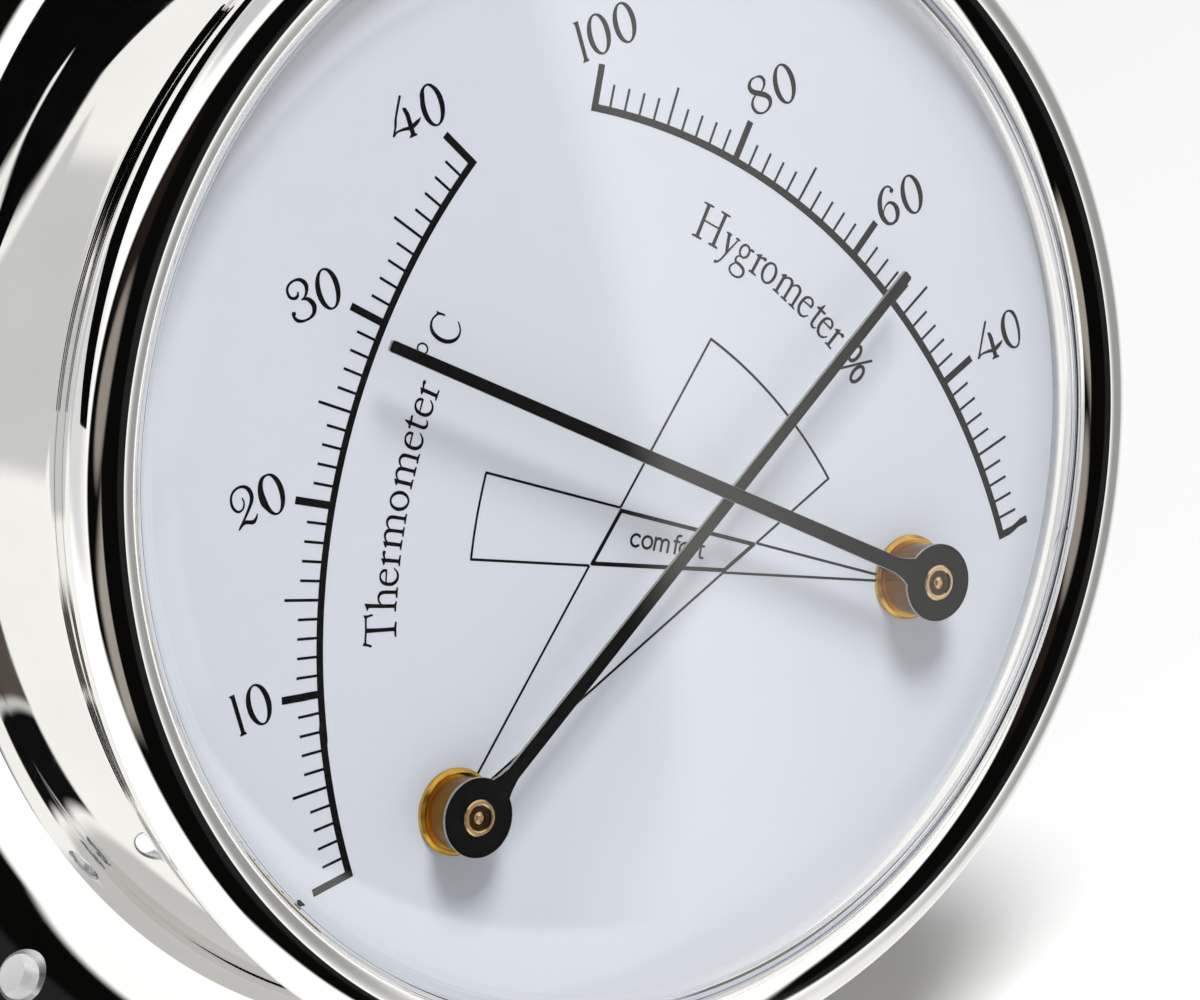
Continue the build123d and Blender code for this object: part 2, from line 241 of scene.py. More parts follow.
def drop(me, x=0.0, y=0.0):
    """Dial-frame mesh in mm to the part frame in metres, about a local origin at (x, y)."""
    co = np.empty(len(me.vertices) * 3)
    me.vertices.foreach_get("co", co)
    co = co.reshape(-1, 3)
    new = np.stack([(co[:, 0] - x) * MM, -co[:, 2] * MM, (co[:, 1] - y) * MM], axis=1)
    me.vertices.foreach_set("co", new.ravel())
    me.update()
    t = NORMALS.pop(me.name, None)
    if t is not None:
        me.normals_split_custom_set([tuple(v) for v in t])


def finish_mesh(bm, name, x=0.0, y=0.0, sharp=30.0, mats=()):
    """bmesh drawn in the dial frame in mm to an object."""
    bmesh.ops.recalc_face_normals(bm, faces=bm.faces)
    me = bpy.data.meshes.new(name)
    bm.to_mesh(me)
    bm.free()
    drop(me, x, y)
    me.shade_smooth()
    me.set_sharp_from_angle(angle=rad(sharp))
    ob = bpy.data.objects.new(name, me)
    scene.collection.objects.link(ob)
    ob.location = to_part((x, y, 0.0))
    for m in mats:
        me.materials.append(m)
    return ob


def cyl_cut(r, z0, z1, x, y, r1=None, n=96):
    bm = bmesh.new()
    bmesh.ops.create_cone(bm, cap_ends=True, segments=n, radius1=r, radius2=r if r1 is None else r1, depth=z1 - z0)
    bmesh.ops.translate(bm, verts=bm.verts, vec=(x, y, (z0 + z1) / 2))
    me = bpy.data.meshes.new("cut")
    bm.to_mesh(me)
    bm.free()
    ob = bpy.data.objects.new("cut", me)
    scene.collection.objects.link(ob)
    return ob


def outline_solid(name, groups, z0, z1, x=0.0, y=0.0, turn=0.0, chamfer=0.0, mats=(), side_mat=0, sharp=30.0):
    """Flat solids from groups of closed 2-D loops (outer ones counter-clockwise, holes clockwise), from z0 to z1.
    chamfer eases the front edge."""
    bm = bmesh.new()
    for loops in groups:
        _flat_solid(bm, loops, z0, z1, x, y, turn, chamfer, side_mat)
    return finish_mesh(bm, name, x, y, sharp, mats)


def _flat_solid(bm, loops, z0, z1, x, y, turn, chamfer, side_mat):
    ca, sa = math.cos(rad(turn)), math.sin(rad(turn))
    fill = {"bot": [], "top": []}
    for lp in loops:
        n = len(lp)
        inner = lp
        if chamfer:
            inner = []
            for i in range(n):
                p0, p1, p2 = lp[i - 1], lp[i], lp[(i + 1) % n]
                d1 = Vector((p1[0] - p0[0], p1[1] - p0[1])).normalized()
                d2 = Vector((p2[0] - p1[0], p2[1] - p1[1])).normalized()
                nn = Vector((-(d1.y + d2.y), d1.x + d2.x)).normalized()
                c = max(0.5, nn.dot(Vector((-d1.y, d1.x))))
                inner.append((p1[0] + nn.x * chamfer / c, p1[1] + nn.y * chamfer / c))
        rows = [[(p, z0) for p in lp], [(p, z1 - chamfer) for p in lp]]
        if chamfer:
            rows.append([(p, z1) for p in inner])
        vr = [[bm.verts.new((x + p[0] * ca - p[1] * sa, y + p[0] * sa + p[1] * ca, z)) for p, z in row] for row in rows]
        for a, b in zip(vr, vr[1:]):
            for i in range(n):
                j = (i + 1) % n
                f = bm.faces.new((a[i], a[j], b[j], b[i]))
                f.material_index = side_mat
        fill["bot"].append(vr[0])
        fill["top"].append(vr[-1])
    for key, rings in fill.items():
        edges = []
        for rg in rings:
            for i in range(len(rg)):
                edges.append(bm.edges.get((rg[i], rg[(i + 1) % len(rg)])))
        bmesh.ops.triangle_fill(bm, edges=edges, use_beauty=True, use_dissolve=False, normal=(0, 0, 1 if key == "top" else -1))


# ------------------------------------------------------------------ materials


def mat(name):
    m = bpy.data.materials.new(name)
    m.use_nodes = True
    nt = m.node_tree
    bs = next(n for n in nt.nodes if n.type == "BSDF_PRINCIPLED")
    out = next(n for n in nt.nodes if n.type == "OUTPUT_MATERIAL")
    return m, nt, bs, out


def node(nt, kind, **kw):
    n = nt.nodes.new(kind)
    for k, v in kw.items():
        setattr(n, k, v)
    return n


def noise(nt, co, scale, detail=3.0, rough=0.5, distortion=0.0):
    n = node(nt, "ShaderNodeTexNoise")
    n.inputs["Scale"].default_value = scale
    n.inputs["Detail"].default_value = detail
    n.inputs["Roughness"].default_value = rough
    n.inputs["Distortion"].default_value = distortion
    nt.links.new(co, n.inputs["Vector"])
    return n.outputs["Fac"]


def ramp(nt, fac, stops):
    r = node(nt, "ShaderNodeValToRGB")
    el = r.color_ramp.elements
    while len(el) < len(stops):
        el.new(0.5)
    for e, (p, c) in zip(el, stops):
        e.position = p
        e.color = (c[0], c[1], c[2], 1.0)
    nt.links.new(fac, r.inputs["Fac"])
    return r.outputs["Color"]


def remap(nt, fac, a, b, c, d):
    m = node(nt, "ShaderNodeMapRange")
    for k, v in zip(("From Min", "From Max", "To Min", "To Max"), (a, b, c, d)):
        m.inputs[k].default_value = v
    nt.links.new(fac, m.inputs["Value"])
    return m.outputs["Result"]


def math_node(nt, op, a, b=None):
    m = node(nt, "ShaderNodeMath", operation=op)
    for i, v in enumerate((a, b)):
        if v is None:
            continue
        if isinstance(v, (int, float)):
            m.inputs[i].default_value = v
        else:
            nt.links.new(v, m.inputs[i])
    return m.outputs[0]


def bump(nt, bs, height, strength, distance, before=None):
    b = node(nt, "ShaderNodeBump")
    b.inputs["Strength"].default_value = strength
    b.inputs["Distance"].default_value = distance
    nt.links.new(height, b.inputs["Height"])
    if before is not None:
        nt.links.new(before, b.inputs["Normal"])
    nt.links.new(b.outputs["Normal"], bs.inputs["Normal"])
    return b.outputs["Normal"]


def coords(nt):
    return node(nt, "ShaderNodeTexCoord").outputs["Object"]


def radius_of(nt, co):
    """Distance from the piece's turning axis, which is its local Y."""
    sp = node(nt, "ShaderNodeSeparateXYZ")
    nt.links.new(co, sp.inputs[0])
    x2 = math_node(nt, "MULTIPLY", sp.outputs["X"], sp.outputs["X"])
    z2 = math_node(nt, "MULTIPLY", sp.outputs["Z"], sp.outputs["Z"])
    return math_node(nt, "SQRT", math_node(nt, "ADD", x2, z2)), sp.outputs["Y"]


def make_chrome():
    m, nt, bs, _ = mat("polished_chrome")
    co = coords(nt)
    bs.inputs["Metallic"].default_value = 1.0
    bs.inputs["Specular IOR Level"].default_value = 0.5
    tone = ramp(nt, noise(nt, co, 60.0, 4.0, 0.55), [(0.30, (0.80, 0.795, 0.785)), (0.70, (0.84, 0.835, 0.825))])
    nt.links.new(tone, bs.inputs["Base Color"])
    # polishing haze and faint handling marks
    haze = noise(nt, co, 240.0, 6.0, 0.62)
    marks = noise(nt, co, 1900.0, 2.0, 0.5)
    r = math_node(nt, "ADD", remap(nt, haze, 0.35, 0.75, 0.018, 0.050), remap(nt, marks, 0.62, 0.80, 0.0, 0.035))
    nt.links.new(r, bs.inputs["Roughness"])
    # long, shallow waves left by hand polishing
    bump(nt, bs, noise(nt, co, 75.0, 1.0, 0.4), 0.25, 0.000012)
    return m


def make_dial():
    m, nt, bs, _ = mat("dial_lacquer")
    co = coords(nt)
    grain = noise(nt, co, 5200.0, 3.0, 0.6)
    cloud = noise(nt, co, 26.0, 3.0, 0.5)
    tone = ramp(nt, cloud, [(0.30, (0.632, 0.636, 0.704)), (0.70, (0.646, 0.650, 0.718))])
    mix = node(nt, "ShaderNodeMix", data_type="RGBA", blend_type="MULTIPLY")
    mix.inputs["Factor"].default_value = 1.0
    nt.links.new(tone, mix.inputs["A"])
    nt.links.new(ramp(nt, grain, [(0.35, (0.985, 0.985, 0.985)), (0.65, (1.0, 1.0, 1.0))]), mix.inputs["B"])
    nt.links.new(mix.outputs["Result"], bs.inputs["Base Color"])
    nt.links.new(remap(nt, grain, 0.3, 0.7, 0.42, 0.50), bs.inputs["Roughness"])
    bs.inputs["Specular IOR Level"].default_value = 0.35
    bump(nt, bs, grain, 0.35, 0.000004)
    return m


def make_ink():
    m, nt, bs, _ = mat("dial_ink")
    co = coords(nt)
    g = noise(nt, co, 3800.0, 3.0, 0.6)
    nt.links.new(ramp(nt, g, [(0.35, (0.0030, 0.0030, 0.0035)), (0.70, (0.0065, 0.0065, 0.0075))]), bs.inputs["Base Color"])
    nt.links.new(remap(nt, g, 0.3, 0.7, 0.42, 0.56), bs.inputs["Roughness"])
    bs.inputs["Specular IOR Level"].default_value = 0.12
    bump(nt, bs, g, 0.3, 0.000004)
    return m


def make_pointer_paint():
    m, nt, bs, _ = mat("pointer_black")
    co = coords(nt)
    g = noise(nt, co, 6500.0, 4.0, 0.6)
    wide = noise(nt, co, 160.0, 3.0, 0.5)
    nt.links.new(ramp(nt, wide, [(0.3, (0.0030, 0.0028, 0.0028)), (0.7, (0.0060, 0.0057, 0.0055))]), bs.inputs["Base Color"])
    nt.links.new(remap(nt, g, 0.3, 0.7, 0.50, 0.66), bs.inputs["Roughness"])
    bs.inputs["Specular IOR Level"].default_value = 0.12
    bump(nt, bs, g, 0.5, 0.000006)
    return m


def make_cut_edge():
    m, nt, bs, _ = mat("pointer_cut_edge")
    co = coords(nt)
    g = noise(nt, co, 5200.0, 4.0, 0.65)
    bs.inputs["Metallic"].default_value = 1.0
    nt.links.new(ramp(nt, g, [(0.35, (0.34, 0.33, 0.30)), (0.70, (0.56, 0.54, 0.50))]), bs.inputs["Base Color"])
    nt.links.new(remap(nt, g, 0.3, 0.7, 0.26, 0.44), bs.inputs["Roughness"])
    bump(nt, bs, g, 0.5, 0.00001)
    return m


def make_brass(name, low, high, ring_scale, rough0, rough1, strength, painted_shade_zone=None, painted_shade_tone=None):
    m, nt, bs, _ = mat(name)
    co = coords(nt)
    rr, yy = radius_of(nt, co)
    bs.inputs["Metallic"].default_value = 1.0
    both = math_node(nt, "ADD", math_node(nt, "MULTIPLY", rr, ring_scale), math_node(nt, "MULTIPLY", yy, ring_scale * 0.9))
    cmb = node(nt, "ShaderNodeCombineXYZ")
    nt.links.new(both, cmb.inputs[0])
    lines = noise(nt, cmb.outputs[0], 1.0, 3.0, 0.7)
    spots = noise(nt, co, 900.0, 4.0, 0.6)
    fac = math_node(nt, "ADD", math_node(nt, "MULTIPLY", lines, 0.6), math_node(nt, "MULTIPLY", spots, 0.4))
    tone = ramp(nt, fac, [(0.35, low), (0.65, high)])
    if painted_shade_zone:
        # painted shade and painted dark reflection: a darker tone in a ring between two radii, in front of a given
        # height
        r0, r1, front = painted_shade_zone
        inside = math_node(nt, "MULTIPLY", math_node(nt, "GREATER_THAN", rr, r0 * MM), math_node(nt, "LESS_THAN", rr, r1 * MM))
        inside = math_node(nt, "MULTIPLY", inside, math_node(nt, "LESS_THAN", yy, -front * MM))
        mix = node(nt, "ShaderNodeMix", data_type="RGBA")
        nt.links.new(inside, mix.inputs["Factor"])
        nt.links.new(tone, mix.inputs["A"])
        nt.links.new(ramp(nt, fac, [(0.35, painted_shade_tone[0]), (0.65, painted_shade_tone[1])]), mix.inputs["B"])
        tone = mix.outputs["Result"]
    nt.links.new(tone, bs.inputs["Base Color"])
    nt.links.new(remap(nt, fac, 0.35, 0.65, rough0, rough1), bs.inputs["Roughness"])
    bump(nt, bs, lines, strength, 0.000008)
    return m


def make_steel():
    m, nt, bs, _ = mat("zinc_steel")
    co = coords(nt)
    bs.inputs["Metallic"].default_value = 1.0
    g = noise(nt, co, 700.0, 5.0, 0.6)
    fine = noise(nt, co, 5200.0, 3.0, 0.6)
    nt.links.new(ramp(nt, g, [(0.3, (0.50, 0.51, 0.53)), (0.7, (0.66, 0.67, 0.68))]), bs.inputs["Base Color"])
    nt.links.new(remap(nt, fine, 0.3, 0.7, 0.24, 0.40), bs.inputs["Roughness"])
    bump(nt, bs, fine, 0.35, 0.000006)
    return m


def make_strip():
    m, nt, bs, _ = mat("rolled_strip")
    co = coords(nt)
    bs.inputs["Metallic"].default_value = 1.0
    mp = node(nt, "ShaderNodeMapping")
    mp.inputs["Scale"].default_value = (400.0, 6000.0, 400.0)
    nt.links.new(co, mp.inputs["Vector"])
    g = noise(nt, mp.outputs["Vector"], 1.0, 4.0, 0.6)
    nt.links.new(ramp(nt, g, [(0.3, (0.46, 0.45, 0.42)), (0.7, (0.62, 0.60, 0.56))]), bs.inputs["Base Color"])
    nt.links.new(remap(nt, g, 0.3, 0.7, 0.22, 0.40), bs.inputs["Roughness"])
    bump(nt, bs, g, 0.3, 0.000006)
    return m


def make_rubber():
    m, nt, bs, _ = mat("gasket_rubber")
    co = coords(nt)
    g = noise(nt, co, 2600.0, 5.0, 0.65)
    nt.links.new(ramp(nt, g, [(0.3, (0.012, 0.012, 0.012)), (0.75, (0.030, 0.030, 0.030))]), bs.inputs["Base Color"])
    nt.links.new(remap(nt, g, 0.3, 0.7, 0.62, 0.82), bs.inputs["Roughness"])
    bump(nt, bs, g, 0.6, 0.00002)
    return m


def make_spacer():
    m, nt, bs, _ = mat("spacer_plastic")
    co = coords(nt)
    g = noise(nt, co, 1400.0, 4.0, 0.6)
    nt.links.new(ramp(nt, g, [(0.3, (0.40, 0.41, 0.45)), (0.7, (0.47, 0.48, 0.52))]), bs.inputs["Base Color"])
    nt.links.new(remap(nt, g, 0.3, 0.7, 0.30, 0.45), bs.inputs["Roughness"])
    bump(nt, bs, g, 0.3, 0.00001)
    return m


def make_cover():
    m, nt, bs, _ = mat("moulded_black")
    co = coords(nt)
    vor = node(nt, "ShaderNodeTexVoronoi", feature="F1")
    vor.inputs["Scale"].default_value = 1500.0
    nt.links.new(co, vor.inputs["Vector"])
    g = noise(nt, co, 2200.0, 4.0, 0.6)
    wide = noise(nt, co, 45.0, 3.0, 0.5)
    h = math_node(nt, "ADD", math_node(nt, "MULTIPLY", vor.outputs["Distance"], 0.6), math_node(nt, "MULTIPLY", g, 0.4))
    nt.links.new(ramp(nt, wide, [(0.3, (0.018, 0.018, 0.019)), (0.7, (0.030, 0.030, 0.031))]), bs.inputs["Base Color"])
    nt.links.new(remap(nt, g, 0.3, 0.7, 0.48, 0.66), bs.inputs["Roughness"])
    bump(nt, bs, h, 0.7, 0.00004)
    return m


def make_crystal():
    """Clear moulded crystal. Light passes it freely; the eye sees it refract and reflect."""
    m, nt, bs, out = mat("clear_crystal")
    co = coords(nt)
    bs.inputs["Base Color"].default_value = (0.985, 0.992, 0.990, 1.0)
    bs.inputs["Transmission Weight"].default_value = 1.0
    bs.inputs["IOR"].default_value = 1.49
    smear = noise(nt, co, 90.0, 5.0, 0.6)
    nt.links.new(remap(nt, smear, 0.45, 0.80, 0.0, 0.012), bs.inputs["Roughness"])
    lp = node(nt, "ShaderNodeLightPath")
    tr = node(nt, "ShaderNodeBsdfTransparent")
    tr.inputs["Color"].default_value = (0.93, 0.945, 0.945, 1.0)
    mix = node(nt, "ShaderNodeMixShader")
    nt.links.new(math_node(nt, "MAXIMUM", lp.outputs["Is Shadow Ray"], lp.outputs["Is Diffuse Ray"]), mix.inputs[0])
    nt.links.new(bs.outputs[0], mix.inputs[1])
    nt.links.new(tr.outputs[0], mix.inputs[2])
    nt.links.new(mix.outputs[0], out.inputs["Surface"])
    return m


CHROME = make_chrome()
DIAL = make_dial()
INK = make_ink()
BLACK = make_pointer_paint()
EDGE = make_cut_edge()
# the darker ring tone paints a dark reflection on the bush barrel and painted shade in the collet's recess
BRASS = make_brass("turned_brass", (0.52, 0.27, 0.030), (0.84, 0.50, 0.085), 9000.0, 0.15, 0.28, 0.5, (0.9, 2.735, 0.52), ((0.16, 0.065, 0.006), (0.30, 0.135, 0.014)))
COLLET = make_brass("collet_brass", (0.66, 0.43, 0.20), (0.90, 0.66, 0.36), 12000.0, 0.14, 0.26, 0.5, (0.44, 0.96, 0.0), ((0.055, 0.030, 0.012), (0.11, 0.062, 0.026)))
PLATE = make_brass("stamped_brass", (0.55, 0.40, 0.17), (0.74, 0.55, 0.27), 2500.0, 0.26, 0.42, 0.3)
STEEL = make_steel()
STRIP = make_strip()
RUBBER = make_rubber()
SPACER = make_spacer()
COVER = make_cover()
GLASS = make_crystal()

# ------------------------------------------------------------------ case body
N_RING = 512
HOLE_R, HOLE_CIRCLE = 1.7, 53.0
case_segs = [
    L((42.0, -25.5), (43.6, -25.5)),
    L((43.6, -25.5), (43.6, -28.0)),
    L((43.6, -28.0), (57.6, -28.0)),
    L((57.6, -28.0), (58.0, -27.6)),
    L((58.0, -27.6), (58.0, -26.2)),
    A((57.3, -26.2), 0.7, 0.0, 90.0),
    L((57.3, -25.5), (52.6, -25.5)),
    A((52.6, -17.5), 8.0, 270.0, 180.0),
    L((44.6, -17.5), (44.6, 2.1)),
    L((44.6, 2.1), (43.1, 2.1)),
    L((43.1, 2.1), (43.1, -0.6)),
    L((43.1, -0.6), (42.0, -0.6)),
    L((42.0, -0.6), (42.0, -25.5)),
]
cuts = []
for a in (30.0, 150.0, 270.0):
    x, y = pol(38.9, a)
    DRILLED.append((x, y))
    cuts.append((cyl_cut(3.3, -25.5, -19.0, x, y), "UNION"))
    cuts.append((cyl_cut(1.05, -26.5, -20.5, x, y), "DIFFERENCE"))
for a in (90.0, 210.0, 330.0):
    x, y = pol(HOLE_CIRCLE, a)
    DRILLED.append((x, y))
    cuts.append((cyl_cut(HOLE_R, -29.0, -21.5, x, y), "DIFFERENCE"))
    cuts.append((cyl_cut(HOLE_R, -25.8, -25.2, x, y, r1=HOLE_R + 0.6), "DIFFERENCE"))
case = lathe("case_turned", case_segs, n=N_RING, step=2.0, cuts=cuts, material=CHROME)
case.data.materials.append(STEEL)  # the drilled walls stay dull inside
for f in case.data.polygons:
    fx, fy, fz = f.center.x / MM, f.center.z / MM, -f.center.y / MM
    if abs(f.normal.y) < 0.98 and -28.05 < fz < -25.4 and any(math.hypot(fx - h[0], fy - h[1]) < HOLE_R + 0.65 for h in DRILLED):
        f.material_index = 1
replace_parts(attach(case, "case"), "case_body")

# ------------------------------------------------------------------ bezel ring
k = 22.0
p_wide = (46.6, 1.2)
p_a = pol(6.0, -k, 40.6, 1.2)
tail_r = 44.9
run = (p_a[0] - tail_r - 6.0 * (1 - math.cos(rad(k)))) / math.sin(rad(k))
p_b = (p_a[0] - run * math.sin(rad(k)), p_a[1] - run * math.cos(rad(k)))
z_tail = p_b[1] - 6.0 * math.sin(rad(k))
lip = pol(2.5, 150.0, 44.1, 1.2)
bezel_segs = [
    L((44.62, 2.1), (41.9, 2.1)),
    L((41.9, 2.1), (41.9, lip[1])),
    L((41.9, lip[1]), lip),
    A((44.1, 1.2), 2.5, 150.0, 0.0),
    A((40.6, 1.2), 6.0, 0.0, -k),
    L(p_a, p_b),
    A((tail_r + 6.0, z_tail), 6.0, 180.0 - k, 180.0),
    L((tail_r, z_tail), (44.62, z_tail)),
    L((44.62, z_tail), (44.62, 2.1)),
]
bezel = lathe("bezel_turned", bezel_segs, n=N_RING, step=2.0, material=CHROME)
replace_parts(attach(bezel, "case"), "bezel_ring")

# ------------------------------------------------------------------ crystal, gasket, spacer
SH = (41.85 - 12.0 * math.sin(rad(48.0)), 2.1 - 12.0 * math.cos(rad(48.0)))  # centre of the shoulder's round
SH_O = pol(12.0, 85.0, *SH)
DOME_R = SH_O[0] / math.sin(rad(5.0))
DOME_C = SH_O[1] - DOME_R * math.cos(rad(5.0))
FOOT = math.degrees(math.asin((1.304 - SH[1]) / 10.8))
crystal_segs = [
    L(pol(10.8, FOOT, *SH), (43.0, 1.304)),
    L((43.0, 1.304), (43.0, 2.094)),
    L((43.0, 2.094), (41.855, 2.094)),
    A(SH, 12.0, 42.0, 85.0),
    A((0.0, DOME_C), DOME_R, 85.0, 90.0),
    L((0.0, DOME_C + DOME_R), (0.0, DOME_C + DOME_R - 1.2)),
    A((0.0, DOME_C), DOME_R - 1.2, 90.0, 85.0),
    A(SH, 10.8, 85.0, FOOT),
]
crystal = lathe("crystal_moulded", crystal_segs, n=N_RING, step=2.0, material=GLASS)
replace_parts(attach(crystal, "case"), "crystal")


def band(name, r0, r1, z0, z1, node_name, material, ease=0.06):
    segs = [
        L((r0, z0), (r1, z0)),
        L((r1, z0), (r1, z1 - ease)),
        A((r1 - ease, z1 - ease), ease, 0.0, 90.0),
        L((r1 - ease, z1), (r0 + ease, z1)),
        A((r0 + ease, z1 - ease), ease, 90.0, 180.0),
        L((r0, z1 - ease), (r0, z0)),
    ]
    ob = lathe(name, segs, n=N_RING // 2, step=30.0, material=material)
    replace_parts(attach(ob, "case"), node_name)
    return ob


band("spacer_moulded", 41.6, 43.05, 0.0, 0.9, "spacer_ring", SPACER)
band("gasket_cut", 41.7, 43.0, 0.9, 1.3, "crystal_gasket", RUBBER, 0.04)

# ------------------------------------------------------------------ movements, in front of the dial
TX, HX, PY = 21.90, -21.56, -19.52


def turned_piece(name, pts, x, node_name, body, material, n=128):
    segs = [L(a, b) for a, b in zip(pts, pts[1:] + pts[:1])]
    ob = lathe(name, segs, n=n, x=x, y=PY, material=material)
    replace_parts(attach(ob, body), node_name)
    return ob


for side, x, z, body in (("thermometer", TX, 3.35, "thermometer_hand"), ("hygrometer", HX, 2.75, "hygrometer_hand")):
    top = z - 0.20
    turned_piece(
        side + "_bush_turned",
        [(0.80, -4.6), (2.15, -4.6), (2.30, -4.45), (2.30, 0.0), (3.21, 0.0), (3.21, 0.22), (3.19, 0.27), (2.98, 0.48), (2.93, 0.50), (2.72, 0.50), (2.72, top - 0.15), (2.57, top), (0.95, top), (0.80, top - 0.15)],
        x, side + "_bush", "case", BRASS, 192)
    zb, zt = z - 0.10, z + 0.25
    turned_piece(
        side + "_collet_turned",
        [(0.36, zb), (1.86, zb), (1.90, zb + 0.04), (1.90, z), (0.98, z), (0.98, zt), (1.30, zt), (1.34, zt + 0.03), (1.34, zt + 0.10), (1.24, zt + 0.20), (1.04, zt + 0.20), (0.86, zt + 0.08), (0.50, zt + 0.08), (0.36, zt + 0.05)],
        x, side + "_collet", body, COLLET, 128)
    rear = -16.6
    tp = z + 0.43
    turned_piece(
        side + "_spindle_turned",
        [(0.0, rear), (0.60, rear), (0.75, rear + 0.15), (0.75, -5.4), (1.25, -5.4), (1.25, -4.8), (0.75, -4.8), (0.75, z - 0.10), (0.35, z - 0.10), (0.35, tp - 0.12), (0.20, tp), (0.0, tp)],
        x, side + "_spindle", body, COLLET, 96)


def pointer_outline():
    """Round eye, short fairing web, and a long strip that tapers to a square tip with eased corners."""
    up = []
    # web edge meets the eye
    ax, ay, bx, by = 2.4905, 1.15, 3.28, 0.82
    lo, hi = 0.0, 1.0
    for _ in range(50):
        t = (lo + hi) / 2
        qx, qy = ax + (bx - ax) * t, ay + (by - ay) * t
        if math.hypot(qx, qy) < 2.93:
            lo = t
        else:
            hi = t
    start = (qx, qy)
    s = (by - 0.59) / (bx - 4.23)
    w = -0.16 / (53.25 - 2.637)
    xm = (0.60 - w * 2.637 - by + s * bx) / (s - w)
    ym = 0.60 + w * (xm - 2.637)
    a0 = math.degrees(math.atan2(start[1], start[0]))
    n = 90
    eye = [pol(2.93, a0 + (360.0 - 2 * a0) * i / n) for i in range(n + 1)]
    lower = [(bx, -by), (xm, -ym)]
    for i in range(1, 16):
        xx = xm + (53.25 - xm) * i / 16
        lower.append((xx, -(0.60 + w * (xx - 2.637))))
    lower += [(53.25, -0.44), (53.31, -0.42), (53.41, -0.365), (53.45, -0.31)]
    upper = [(px, -py) for px, py in reversed(lower)]
    return eye + lower + upper


def pointer_piece(name, node_name, x, z, angle, body):
    hole = [pol(1.0, -360.0 * i / 48) for i in range(48)]
    ob = outline_solid(name, [[pointer_outline(), hole]], z, z + 0.25, x, PY, angle, chamfer=0.02, mats=(BLACK, EDGE), side_mat=1, sharp=35.0)
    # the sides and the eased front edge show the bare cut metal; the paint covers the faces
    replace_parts(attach(ob, body), node_name)
    return ob


pointer_piece("thermometer_pointer_stamped", "thermometer_pointer", TX, 3.35, 138.71, "thermometer_hand")
pointer_piece("hygrometer_pointer_stamped", "hygrometer_pointer", HX, 2.75, 25.42, "hygrometer_hand")

